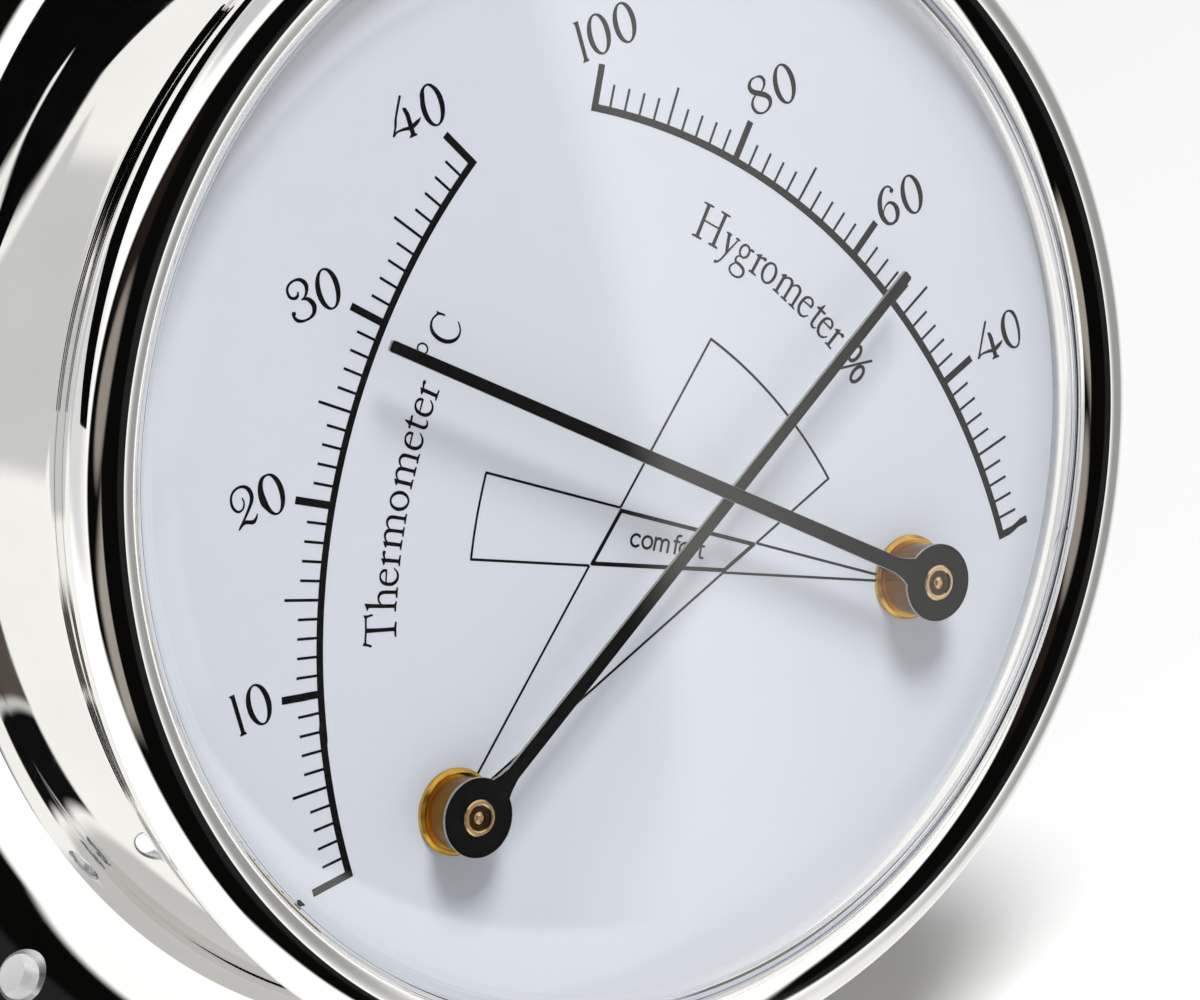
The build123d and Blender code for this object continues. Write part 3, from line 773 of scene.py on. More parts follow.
# ------------------------------------------------------------------ dial print
# lettering outlines in thousandths of a millimetre, drawn from each character's own origin
GLYPHS = {
    "T": [[1188,-66,1632,-82,1665,-66,1688,-38,1696,-3,1688,32,1665,60,1632,76,1299,129,1285,1028,1301,1797,1328,2457,1619,2477,2018,2480,2069,2351,2163,1989,2264,1982,2288,2120,2225,2412,2225,2789,2037,2720,2022,2664,1327,2621,1106,2619,718,2642,345,2651,329,2735,172,2789,94,2335,0,2143,31,2012,149,2028,266,2351,317,2467,608,2487,1005,2458,1019,1797,1019,1028,1005,130,640,76,607,60,584,32,576,-3,584,-38,607,-66,640,-82]],
    "h": [[1411,-35,1700,-40,1729,-26,1748,-2,1755,28,1748,58,1729,82,1700,95,1516,140,1512,643,1519,1055,1503,1235,1475,1367,1452,1432,1418,1488,1360,1556,1311,1596,1181,1658,1126,1674,992,1678,874,1656,815,1634,693,1571,592,1491,558,1452,580,2028,627,2735,533,2720,219,2551,78,2505,266,2366,306,2353,306,2028,282,1182,268,199,45,157,14,142,-8,115,-16,82,-8,48,14,21,45,7,354,19,705,-17,733,-3,753,21,760,51,753,81,733,105,534,182,551,1248,634,1345,678,1386,787,1454,851,1478,912,1491,962,1492,1067,1466,1154,1403,1180,1376,1211,1318,1239,1235,1262,1055,1258,143,1026,99,996,85,975,59,968,28,975,-4,996,-29,1026,-44]],
    "e": [[301,1166,336,1248,404,1352,461,1409,552,1473,611,1493,702,1505,761,1490,806,1468,899,1393,965,1300,988,1251,997,1166,692,1135,283,1106],[696,-30,777,-18,858,6,967,55,1029,92,1083,142,1221,315,1296,431,1301,451,1296,471,1283,487,1264,496,1243,496,1224,487,1164,414,1020,278,929,214,777,169,696,159,657,164,550,198,480,243,418,296,374,347,329,423,292,504,269,575,251,726,249,825,260,975,608,999,1123,1018,1156,1034,1179,1062,1187,1097,1179,1132,1164,1150,1185,1246,1185,1295,1169,1365,1143,1417,1053,1531,1005,1574,887,1634,829,1649,768,1656,641,1655,507,1634,441,1611,372,1577,308,1535,244,1482,186,1420,128,1346,86,1268,69,1223,20,1024,-4,825,-2,627,12,533,37,432,68,349,110,270,226,125,289,74,412,12,492,-14,573,-29]],
    "r": [[391,-16,768,-24,796,-11,816,13,823,43,816,73,796,97,768,111,503,155,517,1028,511,1276,591,1327,661,1351,748,1367,877,1327,941,1327,999,1355,1040,1404,1054,1466,1040,1528,999,1577,941,1605,877,1605,749,1571,568,1488,507,1444,501,1658,487,1645,486,1658,0,1389,149,1274,238,1287,243,1028,236,152,70,111,42,97,23,73,16,43,23,13,42,-11,70,-24]],
    "m": [[2551,-19,2571,5,2578,35,2571,65,2551,90,2523,103,2335,148,2331,566,2337,1035,2327,1219,2297,1374,2275,1431,2241,1482,2184,1548,2139,1585,2016,1648,1965,1664,1909,1673,1806,1673,1750,1664,1692,1644,1570,1582,1465,1501,1359,1375,1347,1417,1319,1473,1264,1543,1222,1585,1174,1617,1076,1663,1024,1678,893,1684,838,1678,781,1663,658,1606,549,1531,485,1462,486,1674,471,1660,470,1674,196,1535,16,1412,118,1305,202,1313,189,185,23,160,-7,146,-28,121,-35,89,-28,58,-7,32,23,18,232,19,643,6,671,20,690,44,697,74,690,104,671,128,643,141,456,178,476,1265,616,1399,729,1461,791,1481,851,1492,893,1487,977,1461,1060,1392,1107,1303,1124,1252,1144,1089,1149,972,1144,151,964,118,935,105,916,81,909,51,916,21,935,-3,964,-17,1286,-13,1583,-17,1611,-3,1631,21,1638,51,1631,81,1611,105,1583,118,1394,151,1391,566,1397,1034,1386,1235,1555,1391,1643,1443,1762,1480,1806,1482,1896,1458,1939,1430,2004,1370,2035,1317,2069,1219,2088,1035,2085,151,1888,111,1860,97,1840,73,1834,43,1840,13,1860,-11,1888,-24,2190,-12,2523,-32]],
    "o": [[682,157,604,183,566,203,493,258,459,292,397,373,345,467,304,573,275,686,260,804,258,923,270,1040,296,1150,334,1251,384,1339,444,1411,512,1467,586,1503,664,1518,704,1518,783,1503,822,1488,898,1442,933,1413,999,1340,1081,1204,1122,1098,1151,985,1166,867,1168,747,1156,631,1130,521,1092,420,1042,332,982,259,914,204,840,168,762,152],[775,-15,898,11,957,33,1070,96,1122,136,1217,232,1259,287,1331,408,1359,475,1402,614,1415,687,1426,835,1415,984,1383,1127,1331,1262,1259,1384,1171,1489,1070,1575,957,1638,837,1676,713,1689,651,1686,528,1660,469,1638,357,1575,304,1535,209,1439,167,1384,96,1262,67,1196,24,1056,11,984,0,835,11,687,43,543,96,408,167,287,255,181,357,96,469,33,589,-5,713,-18]],
    "t": [[675,1,730,16,837,64,877,89,909,119,991,220,995,238,991,256,980,270,963,278,944,278,827,204,714,185,641,198,577,250,552,293,531,353,512,492,507,587,510,809,544,1426,892,1454,931,1473,958,1506,968,1547,958,1589,931,1622,892,1640,546,1624,546,2020,472,2047,278,1665,189,1598,91,1590,53,1573,28,1541,19,1502,25,1475,0,1456,40,1447,53,1431,91,1413,183,1414,278,1393,295,1395,267,639,278,332,306,211,334,157,388,92,433,57,504,21,553,4,604,-1]],
    "C": [[1103,127,1184,137,1266,155,1347,183,1454,236,1563,322,1723,492,1785,567,1888,716,1893,738,1888,760,1874,777,1854,787,1831,787,1811,777,1674,610,1477,427,1400,371,1352,346,1272,319,1189,301,1114,295,984,311,870,350,792,399,709,465,575,601,523,674,462,777,407,888,361,1002,312,1161,294,1276,275,1504,282,1729,296,1843,332,2028,369,2158,414,2279,468,2385,533,2482,650,2603,731,2663,779,2690,872,2723,965,2744,1038,2751,1102,2745,1186,2726,1314,2676,1390,2626,1539,2508,1565,2465,1639,2247,1694,1975,1787,1975,1805,2175,1731,2538,1713,2829,1537,2702,1449,2772,1373,2817,1221,2878,1138,2898,1053,2908,879,2905,782,2891,686,2866,551,2805,462,2748,376,2677,296,2593,223,2501,160,2399,88,2217,9,1902,-10,1786,-19,1672,-19,1447,0,1218,49,983,86,872,135,760,194,650,261,550,336,455,416,374,505,302,597,241,733,173,817,143,899,128]],
    "deg": [[383,2249,335,2260,290,2283,248,2316,211,2359,180,2410,156,2468,139,2530,131,2596,131,2662,139,2728,156,2790,180,2848,211,2899,248,2942,290,2975,335,2998,383,3009,432,3009,479,2998,525,2975,567,2942,604,2899,635,2848,659,2790,676,2728,684,2662,684,2596,676,2530,659,2468,635,2410,604,2359,567,2316,525,2283,479,2260,432,2249],[443,2113,513,2129,580,2159,641,2205,695,2263,741,2332,777,2410,801,2495,813,2584,813,2674,801,2763,777,2848,741,2926,695,2996,641,3054,580,3099,513,3130,443,3145,372,3145,302,3130,235,3099,174,3054,119,2996,74,2926,38,2848,14,2763,2,2674,2,2584,14,2495,38,2410,74,2332,119,2263,174,2205,235,2159,302,2129,372,2113]],
    "H": [[883,-3,913,11,934,37,942,70,934,103,913,129,883,143,620,196,620,1347,1952,1347,1944,197,1689,143,1658,129,1637,103,1629,70,1637,37,1658,11,1689,-3,2521,-3,2551,11,2572,37,2580,70,2572,103,2551,129,2521,143,2248,197,2240,1387,2256,2529,2494,2551,2523,2565,2543,2589,2550,2620,2543,2651,2523,2675,2494,2689,2165,2701,1681,2689,1652,2675,1632,2651,1625,2620,1632,2589,1652,2565,1681,2551,1952,2527,1952,1477,621,1477,642,2529,899,2551,928,2565,948,2589,955,2620,948,2651,928,2675,899,2689,546,2701,69,2689,40,2675,20,2651,13,2620,20,2589,40,2565,69,2551,322,2528,322,1387,307,198,17,143,-14,129,-35,103,-42,70,-35,37,-14,11,17,-3]],
    "y": [[181,-936,195,-919,207,-919,245,-902,369,-795,417,-746,507,-625,550,-553,633,-381,675,-275,1269,1425,1371,1438,1395,1449,1411,1470,1417,1495,1411,1520,1395,1541,1371,1552,1244,1583,1165,1584,1003,1560,976,1547,957,1524,951,1495,957,1466,976,1443,1003,1430,1140,1422,768,477,577,1053,468,1441,523,1442,549,1454,567,1476,573,1503,567,1530,549,1552,523,1564,343,1600,222,1598,53,1568,26,1555,7,1532,0,1503,7,1474,26,1451,53,1438,165,1438,407,637,615,118,524,-204,487,-312,407,-485,331,-603,290,-644,164,-733,130,-716,74,-716,22,-741,-13,-784,-25,-838,-13,-893,22,-936,74,-960,130,-960]],
    "g": [[685,638,629,650,577,674,528,709,485,754,449,807,421,868,401,933,392,1002,392,1072,401,1140,421,1206,449,1266,485,1320,528,1364,577,1399,629,1423,685,1435,741,1435,796,1423,849,1399,898,1364,941,1320,977,1266,1005,1206,1024,1140,1034,1072,1034,1002,1024,933,1005,868,977,807,941,754,898,709,849,674,796,650,741,638],[659,-884,561,-869,466,-845,372,-811,320,-783,254,-735,231,-706,202,-642,191,-547,195,-508,217,-445,286,-311,320,-261,456,-111,785,-135,1002,-177,1160,-224,1194,-244,1264,-305,1288,-336,1341,-448,1343,-488,1336,-557,1314,-622,1268,-705,1232,-740,1148,-795,1085,-823,982,-857,883,-879,780,-889],[867,-1038,968,-1024,1070,-1000,1173,-966,1304,-906,1382,-852,1472,-750,1523,-667,1542,-623,1576,-488,1579,-447,1551,-313,1535,-271,1487,-191,1422,-111,1352,-49,1215,18,1057,58,838,90,554,98,466,109,434,119,401,144,365,222,359,283,363,327,379,363,544,509,623,487,713,478,758,480,847,497,890,512,972,553,1010,579,1079,642,1109,678,1161,758,1213,892,1229,988,1229,1085,1213,1181,1173,1292,1250,1309,1445,1322,1479,1338,1502,1367,1511,1403,1502,1439,1479,1468,1445,1485,1235,1491,1184,1484,1106,1450,1080,1431,1046,1464,972,1520,890,1561,803,1587,713,1595,668,1593,579,1576,536,1561,454,1520,416,1494,347,1431,316,1396,265,1316,213,1181,197,1085,197,988,213,892,244,801,289,716,347,642,434,567,313,491,266,451,228,403,204,349,179,220,181,162,197,93,214,49,271,-25,335,-67,244,-149,156,-249,90,-342,51,-409,26,-476,13,-547,13,-579,35,-683,62,-747,127,-833,153,-859,220,-906,336,-964,430,-999,525,-1024,623,-1038,727,-1043]],
    "pct": [[1810,282,1764,299,1721,332,1681,381,1646,444,1616,519,1593,603,1577,695,1569,791,1569,889,1577,985,1593,1077,1616,1161,1646,1236,1681,1299,1721,1348,1764,1381,1810,1398,1833,1400,1879,1391,1945,1348,1985,1299,2020,1236,2050,1161,2073,1077,2089,985,2097,889,2097,791,2089,695,2073,603,2050,519,2020,444,1985,381,1945,332,1901,299,1856,282],[471,-38,499,-3,1402,1361,1357,1260,1335,1195,1302,1057,1291,986,1283,840,1291,694,1316,553,1357,420,1412,300,1479,197,1558,113,1645,51,1737,13,1833,0,1881,3,1975,29,2021,51,2108,113,2148,152,2222,246,2254,300,2309,420,2331,485,2364,623,2374,694,2383,840,2374,986,2350,1127,2309,1260,2254,1380,2186,1483,2108,1567,2021,1629,1928,1667,1833,1680,1785,1677,1691,1651,1645,1629,1558,1567,1496,1503,2088,2397,2098,2440,2088,2483,2059,2518,2018,2537,1973,2537,1932,2518,1904,2483,316,83,305,40,316,-3,344,-38,385,-57,430,-57],[508,1202,466,1218,426,1249,389,1294,357,1352,329,1422,308,1500,293,1585,286,1765,308,1940,329,2018,357,2088,389,2146,426,2191,466,2222,508,2238,551,2238,593,2222,633,2191,670,2146,702,2088,730,2018,751,1940,766,1855,773,1675,751,1500,730,1422,702,1352,670,1294,633,1249,593,1218,551,1202],[576,923,667,947,711,968,794,1027,833,1065,904,1154,935,1206,988,1320,1009,1382,1041,1513,1051,1581,1059,1720,1051,1859,1027,1994,988,2120,935,2234,870,2333,794,2413,711,2472,621,2508,530,2520,483,2517,392,2493,348,2472,265,2413,226,2375,155,2286,124,2234,71,2120,50,2058,18,1927,8,1859,0,1720,8,1581,32,1446,71,1320,124,1206,189,1107,265,1027,348,968,438,932,530,920]],
    "d2": [[453,104,517,126,603,170,658,214,710,269,787,364,828,434,925,628,930,650,925,672,911,689,891,699,869,699,849,689,699,538,637,484,553,433,487,411,420,398,317,424,140,489,-11,563,-89,587,-193,592,290,1041,636,1376,734,1479,817,1582,888,1688,941,1792,978,1896,1007,2021,1020,2130,1020,2187,1006,2306,977,2439,940,2554,890,2657,782,2800,703,2880,564,2978,467,3027,362,3066,188,3099,-31,3103,-147,3090,-265,3064,-379,3025,-470,2982,-565,2922,-610,2885,-692,2801,-757,2721,-822,2624,-874,2521,-930,2349,-952,2243,-967,2125,-969,2016,-956,1910,-935,1811,-904,1713,-865,1624,-814,1543,-756,1470,-691,1402,-621,1349,-550,1312,-478,1287,-439,1281,-324,1279,-248,1291,-177,1317,-109,1352,-39,1403,25,1465,98,1557,151,1673,180,1788,192,1871,194,1947,182,2018,125,2212,111,2229,91,2239,69,2239,49,2229,35,2212,30,2190,62,2018,68,1947,48,1818,21,1735,-16,1657,-47,1611,-102,1553,-171,1498,-220,1469,-284,1449,-346,1442,-401,1448,-469,1468,-507,1493,-571,1552,-604,1592,-654,1673,-694,1759,-726,1855,-749,2016,-749,2125,-738,2243,-722,2335,-692,2433,-644,2538,-581,2637,-532,2694,-447,2773,-336,2842,-165,2897,-46,2915,26,2916,142,2899,257,2868,320,2843,365,2816,452,2748,527,2668,586,2572,632,2470,662,2367,677,2246,680,2130,672,2021,653,1931,585,1765,517,1652,435,1539,213,1276,-159,883,-402,657,-625,464,-761,335,-883,200,-890,170,-883,140,-864,115,-836,102,-804,102,-540,251,-399,299,-308,320,-219,331,-190,328,-125,310,11,229,249,124,318,104]],
    "d0": [[-50,165,-99,181,-148,207,-195,244,-241,290,-327,411,-366,485,-437,657,-467,753,-517,963,-536,1075,-561,1309,-568,1429,-568,1671,-551,1910,-517,2137,-467,2347,-403,2533,-327,2689,-241,2810,-195,2856,-148,2893,-99,2919,-50,2935,0,2940,50,2935,99,2919,148,2893,195,2856,241,2810,327,2689,366,2615,437,2443,467,2347,517,2137,536,2025,561,1791,568,1671,568,1429,551,1190,517,963,467,753,403,567,327,411,241,290,195,244,148,207,99,181,50,165,0,160],[87,16,174,33,259,62,342,103,423,154,500,216,574,289,643,370,707,461,766,560,819,667,866,780,906,899,940,1023,985,1283,996,1416,996,1684,966,1949,906,2201,866,2320,819,2433,766,2540,707,2639,643,2730,574,2811,500,2884,423,2946,342,2997,259,3038,174,3067,87,3084,0,3090,-87,3084,-174,3067,-259,3038,-342,2997,-423,2946,-500,2884,-574,2811,-643,2730,-707,2639,-766,2540,-819,2433,-866,2320,-906,2201,-940,2077,-985,1817,-996,1684,-996,1416,-966,1151,-906,899,-866,780,-819,667,-766,560,-707,461,-643,370,-574,289,-500,216,-423,154,-342,103,-259,62,-174,33,-87,16,0,10]],
    "d1": [[240,130,161,209,170,3050,-320,3050,-170,2850,-161,213,-260,130,-300,-10,290,-10]],
    "d3": [[216,28,412,54,600,96,684,129,781,178,850,231,958,357,1011,437,1054,522,1082,608,1110,735,1115,818,1106,902,1077,1029,1049,1110,1011,1189,964,1265,858,1403,790,1477,716,1543,637,1597,544,1644,473,1665,594,1749,654,1804,766,1943,850,2095,881,2180,916,2339,920,2383,914,2470,888,2589,858,2680,816,2769,762,2849,692,2933,661,2962,587,3008,493,3051,404,3077,310,3094,122,3110,-66,3106,-259,3075,-345,3049,-462,2996,-537,2953,-605,2902,-664,2847,-740,2751,-788,2645,-818,2520,-829,2439,-828,2287,-794,2128,-769,2056,-738,1992,-652,1876,-606,1834,-554,1799,-429,1745,-376,1738,-305,1739,-253,1753,-141,1811,-57,1884,-21,1929,4,1974,74,2176,69,2196,57,2211,39,2219,20,2219,2,2211,-111,2033,-171,1984,-214,1963,-317,1937,-403,1960,-493,2025,-521,2059,-554,2120,-601,2250,-610,2324,-609,2480,-599,2554,-572,2628,-534,2692,-481,2747,-414,2799,-341,2845,-217,2891,-123,2913,37,2930,126,2922,217,2901,348,2853,423,2803,475,2755,535,2634,564,2544,584,2383,581,2294,570,2205,528,2057,495,1983,454,1912,384,1821,332,1769,278,1730,117,1668,91,1668,71,1658,34,1622,29,1603,34,1584,46,1568,64,1560,101,1563,346,1470,399,1438,464,1380,543,1280,640,1109,703,937,713,860,716,777,701,649,650,505,607,425,563,380,491,323,410,275,319,239,225,214,124,200,42,196,-49,201,-151,215,-247,239,-342,275,-470,348,-611,455,-670,516,-732,606,-796,725,-773,725,-708,756,-663,812,-647,882,-663,953,-708,1009,-773,1040,-845,1040,-910,1009,-955,953,-971,882,-967,868,-1000,738,-1002,696,-989,626,-946,503,-912,430,-868,358,-806,279,-744,220,-709,196,-576,129,-485,95,-389,68,-193,32,18,21]],
    "d4": [[676,118,556,214,550,563,656,584,791,626,983,712,1039,744,1138,822,1371,1058,1375,1074,1361,1102,1346,1109,846,996,543,891,529,1618,412,2088,118,2176,162,1618,169,839,-164,882,-594,889,-740,882,-869,866,-977,835,-678,1369,-77,2378,284,2955,294,3000,284,3045,255,3080,214,3100,168,3100,127,3080,98,3045,-316,2358,-895,1319,-1095,973,-1268,689,-1292,659,-1301,618,-1292,576,-1265,543,-1227,524,-1185,524,-1146,543,-929,695,-837,722,-774,729,-669,725,-518,707,-215,658,172,561,175,213,44,118,0,0,735,0]],
    "d6": [[-171,290,-222,322,-289,384,-347,479,-379,549,-436,701,-496,928,-526,1153,-509,1161,-320,1417,-245,1495,-199,1529,-111,1578,-9,1618,50,1632,126,1638,179,1627,241,1597,291,1560,385,1468,425,1407,481,1289,517,1152,532,999,530,850,507,687,463,543,433,468,376,363,316,311,271,285,43,190],[372,57,431,74,542,127,594,163,642,209,735,323,826,460,895,611,917,686,950,850,952,923,943,999,907,1162,884,1236,821,1373,784,1434,658,1593,609,1637,497,1713,390,1766,276,1804,221,1813,126,1812,71,1804,-43,1767,-129,1727,-234,1665,-323,1593,-415,1480,-534,1296,-534,1434,-522,1607,-479,1877,-429,2051,-366,2213,-243,2448,-151,2587,-96,2654,2,2749,52,2789,140,2844,219,2872,286,2882,331,2875,400,2849,519,2770,580,2715,604,2679,542,2649,489,2582,470,2500,489,2418,542,2351,618,2315,702,2315,778,2351,831,2418,850,2500,831,2582,778,2649,752,2661,731,2727,694,2801,647,2859,534,2946,413,3006,316,3033,181,3037,72,3020,-42,2984,-147,2936,-264,2866,-382,2771,-502,2654,-665,2455,-760,2307,-798,2229,-862,2060,-930,1787,-961,1607,-976,1434,-976,1261,-959,1091,-903,835,-879,759,-814,611,-773,539,-681,403,-587,288,-487,191,-435,154,-329,101,-273,80,20,2,60,2]],
    "d8": [[123,1795,-179,1951,-289,2017,-379,2089,-409,2121,-458,2197,-503,2291,-522,2356,-522,2440,-492,2520,-409,2658,-342,2727,-306,2752,-259,2771,47,2829,352,2725,401,2695,454,2644,487,2595,533,2505,576,2379,582,2297,574,2229,545,2146,508,2066,437,1949,376,1884,218,1737],[-105,212,-167,229,-269,269,-365,325,-463,399,-505,438,-546,488,-577,540,-631,652,-686,823,-698,925,-695,1026,-685,1091,-659,1173,-616,1266,-576,1329,-463,1433,-290,1558,262,1240,366,1172,454,1099,528,1021,571,957,618,869,636,821,640,766,634,668,584,531,526,443,485,405,384,331,238,255,107,214,-2,199],[78,54,209,72,343,106,470,151,626,227,674,257,755,326,863,457,918,551,955,646,982,766,987,858,949,1028,931,1074,882,1164,732,1360,656,1441,563,1517,324,1672,509,1790,578,1846,721,2012,772,2086,810,2163,842,2297,844,2337,816,2479,756,2613,699,2697,635,2774,566,2833,487,2875,403,2902,63,2942,-295,2927,-381,2908,-458,2873,-542,2824,-625,2760,-699,2686,-771,2597,-820,2512,-857,2356,-858,2310,-843,2214,-810,2086,-790,2036,-739,1941,-621,1786,-582,1746,-485,1671,-423,1633,-562,1556,-656,1494,-733,1423,-852,1266,-899,1175,-931,1079,-953,975,-956,875,-924,711,-885,598,-829,487,-796,434,-687,300,-645,262,-547,197,-449,149,-329,103,-203,71,-77,54]],
    "comfort": [[3731,18,3754,47,3763,83,3755,885,3977,885,4006,899,4027,925,4034,958,4027,990,4006,1016,3977,1030,3757,1030,3763,1150,3775,1259,3785,1284,3837,1319,3878,1328,4038,1340,4071,1355,4094,1384,4102,1420,4094,1456,4071,1485,4038,1500,3841,1489,3785,1475,3676,1409,3641,1365,3612,1271,3597,1150,3592,1030,3463,1030,3434,1016,3413,990,3406,958,3413,925,3434,899,3463,885,3590,885,3597,83,3606,47,3629,18,3662,2,3698,2],[6331,25,6354,54,6362,90,6354,126,6331,155,6298,170,6151,184,6113,193,6074,216,6059,406,6059,885,6277,885,6306,899,6327,925,6334,958,6327,990,6306,1016,6277,1030,6060,1030,6062,1320,6054,1356,6031,1385,5998,1400,5962,1400,5929,1385,5906,1356,5897,1320,5895,1030,5763,1030,5734,1016,5713,990,5706,958,5713,925,5734,899,5763,885,5894,885,5892,513,5897,320,5909,212,5924,147,5965,90,6029,53,6087,29,6298,10],[1811,18,1834,47,1843,83,1843,566,1874,709,1898,770,1912,791,1962,835,1999,858,2073,876,2179,846,2261,786,2278,754,2289,706,2300,583,2297,83,2306,47,2329,18,2362,2,2398,2,2431,18,2454,47,2462,83,2465,578,2494,709,2518,770,2532,791,2582,835,2619,858,2693,876,2799,846,2881,786,2898,754,2909,706,2922,511,2917,83,2926,47,2949,18,2982,2,3018,2,3051,18,3074,47,3082,83,3086,571,3069,738,3055,801,3036,847,2981,917,2931,958,2833,1008,2763,1031,2698,1038,2632,1034,2601,1026,2508,982,2453,943,2394,878,2361,917,2311,958,2213,1008,2143,1031,2078,1038,2012,1034,1981,1026,1888,982,1843,950,1834,993,1811,1022,1778,1038,1742,1038,1709,1022,1686,993,1677,958,1677,83,1686,47,1709,18,1742,2,1778,2],[5271,18,5294,47,5303,83,5303,608,5361,772,5389,827,5412,845,5598,877,5631,893,5654,922,5663,958,5654,993,5631,1022,5598,1038,5562,1038,5403,1014,5346,993,5300,967,5294,993,5271,1022,5238,1038,5202,1038,5169,1022,5146,993,5137,958,5137,83,5146,47,5169,18,5202,2,5238,2],[41,3,132,17,174,31,267,80,344,130,367,159,375,195,367,231,344,259,311,275,274,275,132,190,95,178,4,164,-72,173,-156,199,-223,245,-280,300,-304,337,-342,421,-354,497,-347,600,-315,683,-274,748,-205,810,-167,834,-94,862,-5,876,73,867,117,856,274,765,311,765,344,781,367,809,375,845,367,881,344,910,247,972,174,1009,132,1023,41,1037,-42,1037,-131,1023,-175,1009,-270,963,-308,939,-377,877,-428,813,-474,734,-490,690,-514,589,-519,497,-514,451,-483,328,-441,246,-377,163,-308,101,-270,77,-153,24,-64,4],[978,173,894,199,827,245,770,300,746,337,708,421,696,497,703,600,735,683,776,748,845,810,883,834,956,862,1045,876,1123,867,1203,842,1274,795,1329,742,1366,682,1390,611,1405,520,1388,413,1375,378,1329,299,1274,245,1203,198,1123,173,1047,164],[1091,3,1182,17,1225,31,1340,89,1377,116,1441,180,1503,266,1524,306,1551,407,1570,520,1538,691,1524,734,1478,813,1410,894,1377,924,1300,974,1204,1017,1160,1028,1068,1038,964,1033,919,1023,833,990,742,939,673,877,622,813,576,734,560,690,536,589,531,497,536,451,567,328,609,246,673,163,742,101,780,77,897,24,986,4],[4428,173,4344,199,4277,245,4220,300,4196,337,4158,421,4146,497,4153,600,4185,683,4226,748,4295,810,4333,834,4406,862,4495,876,4573,867,4653,842,4724,795,4779,742,4816,682,4840,611,4855,520,4838,413,4825,378,4779,299,4724,245,4653,198,4573,173,4497,164],[4541,3,4632,17,4675,31,4790,89,4827,116,4891,180,4953,266,4974,306,5001,407,5020,520,4988,691,4974,734,4928,813,4860,894,4827,924,4750,974,4654,1017,4610,1028,4518,1038,4414,1033,4369,1023,4283,990,4192,939,4123,877,4072,813,4026,734,4010,690,3986,589,3981,497,3986,451,4017,328,4059,246,4123,163,4192,101,4230,77,4347,24,4436,4]],
    "wedges": [[19254,-18122,9646,-11530,17178,-9571,17213,-9536,17226,-9489,17043,-8803,16852,-8146,16649,-7493,16434,-6843,16208,-6197,15971,-5554,15722,-4916,15462,-4282,15191,-3653,14908,-3028,14615,-2408,14310,-1793,13994,-1183,13668,-579,13331,19,12983,612,12624,1199,12256,1779,11877,2353,11487,2920,11088,3481,10678,4034,10259,4581,10233,4603,10185,4616,10138,4603,-1221,-4074,-11353,2878,-11407,2895,-11454,2882,-11484,2856,-11950,2172,-12252,1711,-12837,777,-13119,304,-13664,-654,-13925,-1138,-14428,-2117,-14669,-2611,-14679,-2654,-14666,-2701,-14631,-2736,-5283,-7177,-19258,-17853,-19142,-18004,-5043,-7233,-5101,-7158,-5060,-7072,-14457,-2609,-14013,-1716,-13499,-748,-12957,205,-12389,1142,-11794,2064,-11383,2668,-1272,-4269,-1218,-4191,-1160,-4266,10168,4388,10529,3917,10936,3366,11334,2808,11721,2244,12098,1673,12465,1095,12822,511,13168,-78,13503,-674,13828,-1275,14142,-1882,14445,-2494,14737,-3111,15018,-3733,15288,-4359,15547,-4990,15795,-5625,16031,-6265,16256,-6908,16469,-7554,16671,-8205,16861,-8858,17014,-9421,9396,-11398,9420,-11490,9366,-11568,19146,-18279],[-4517,-7083,-1216,-4618,8811,-11425,6101,-12107],[5921,-12365,5940,-12374,5929,-12396],[5920,-12497,19159,-18785,19241,-18613,6175,-12408,9243,-11635,9294,-11601,9327,-11551,9339,-11491,9327,-11432,9294,-11382,-1161,-4285,-1221,-4273,-1280,-4285,-1314,-4304,-4926,-7004,-4960,-7054,-4972,-7113,-4960,-7173,-4926,-7223,-4883,-7253,5833,-12323,-19224,-18826,-19176,-19010]],
}
# where each character sits on the dial: x and y in mm, or its angle round the scale's centre
NUM=[('d1',-36.10,-6.95),('d0',-34.30,-6.95),('d2',-31.04,6.75),('d0',-28.71,6.75),('d3',-22.22,18.765),('d0',-19.85,18.75),
 ('d4',-10.09,27.88),('d0',-7.54,27.86),('d1',5.94,27.71),('d0',7.575,27.68),('d0',9.96,27.68),('d8',19.775,18.5),('d0',22.18,18.44),
 ('d6',28.50,6.40),('d0',30.875,6.40),('d4',34.40,-6.85),('d0',36.83,-6.85)]
THERMO=[('T',161.72),('h',158.65),('e',156.32),('r',154.52),('m',152.98),('o',149.56),('m',147.41),('e',143.95),('t',142.26),('e',140.82),('r',139.09),('deg',135.87),('C',134.05)]
HYGRO=[('H',46.39),('y',42.88),('g',41.05),('r',38.84),('o',37.50),('m',35.33),('e',31.98),('t',30.07),('e',28.85),('r',27.08)]
PRINT_Z0, PRINT_Z1 = 0.002, 0.014


def glyph(name):
    return [[(c[i] / 1000.0, c[i + 1] / 1000.0) for i in range(0, len(c), 2)] for c in GLYPHS[name]]


def moved(loops, f):
    return [[f(px, py) for px, py in lp] for lp in loops]


def upright(name, ox, oy):
    return moved(glyph(name), lambda a, b: (ox + a, oy + b))


def on_arc(name, cx, a0, rb=44.78):
    def f(a, b):
        t = rad(a0) - a / 44.8
        r = rb + b
        return (cx + r * math.cos(t), -20.0 + r * math.sin(t))

    return moved(glyph(name), f)


def print_piece(name, groups):
    ob = outline_solid(name, groups, PRINT_Z0, PRINT_Z1, mats=(INK,))
    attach(ob, "case")
    return ob


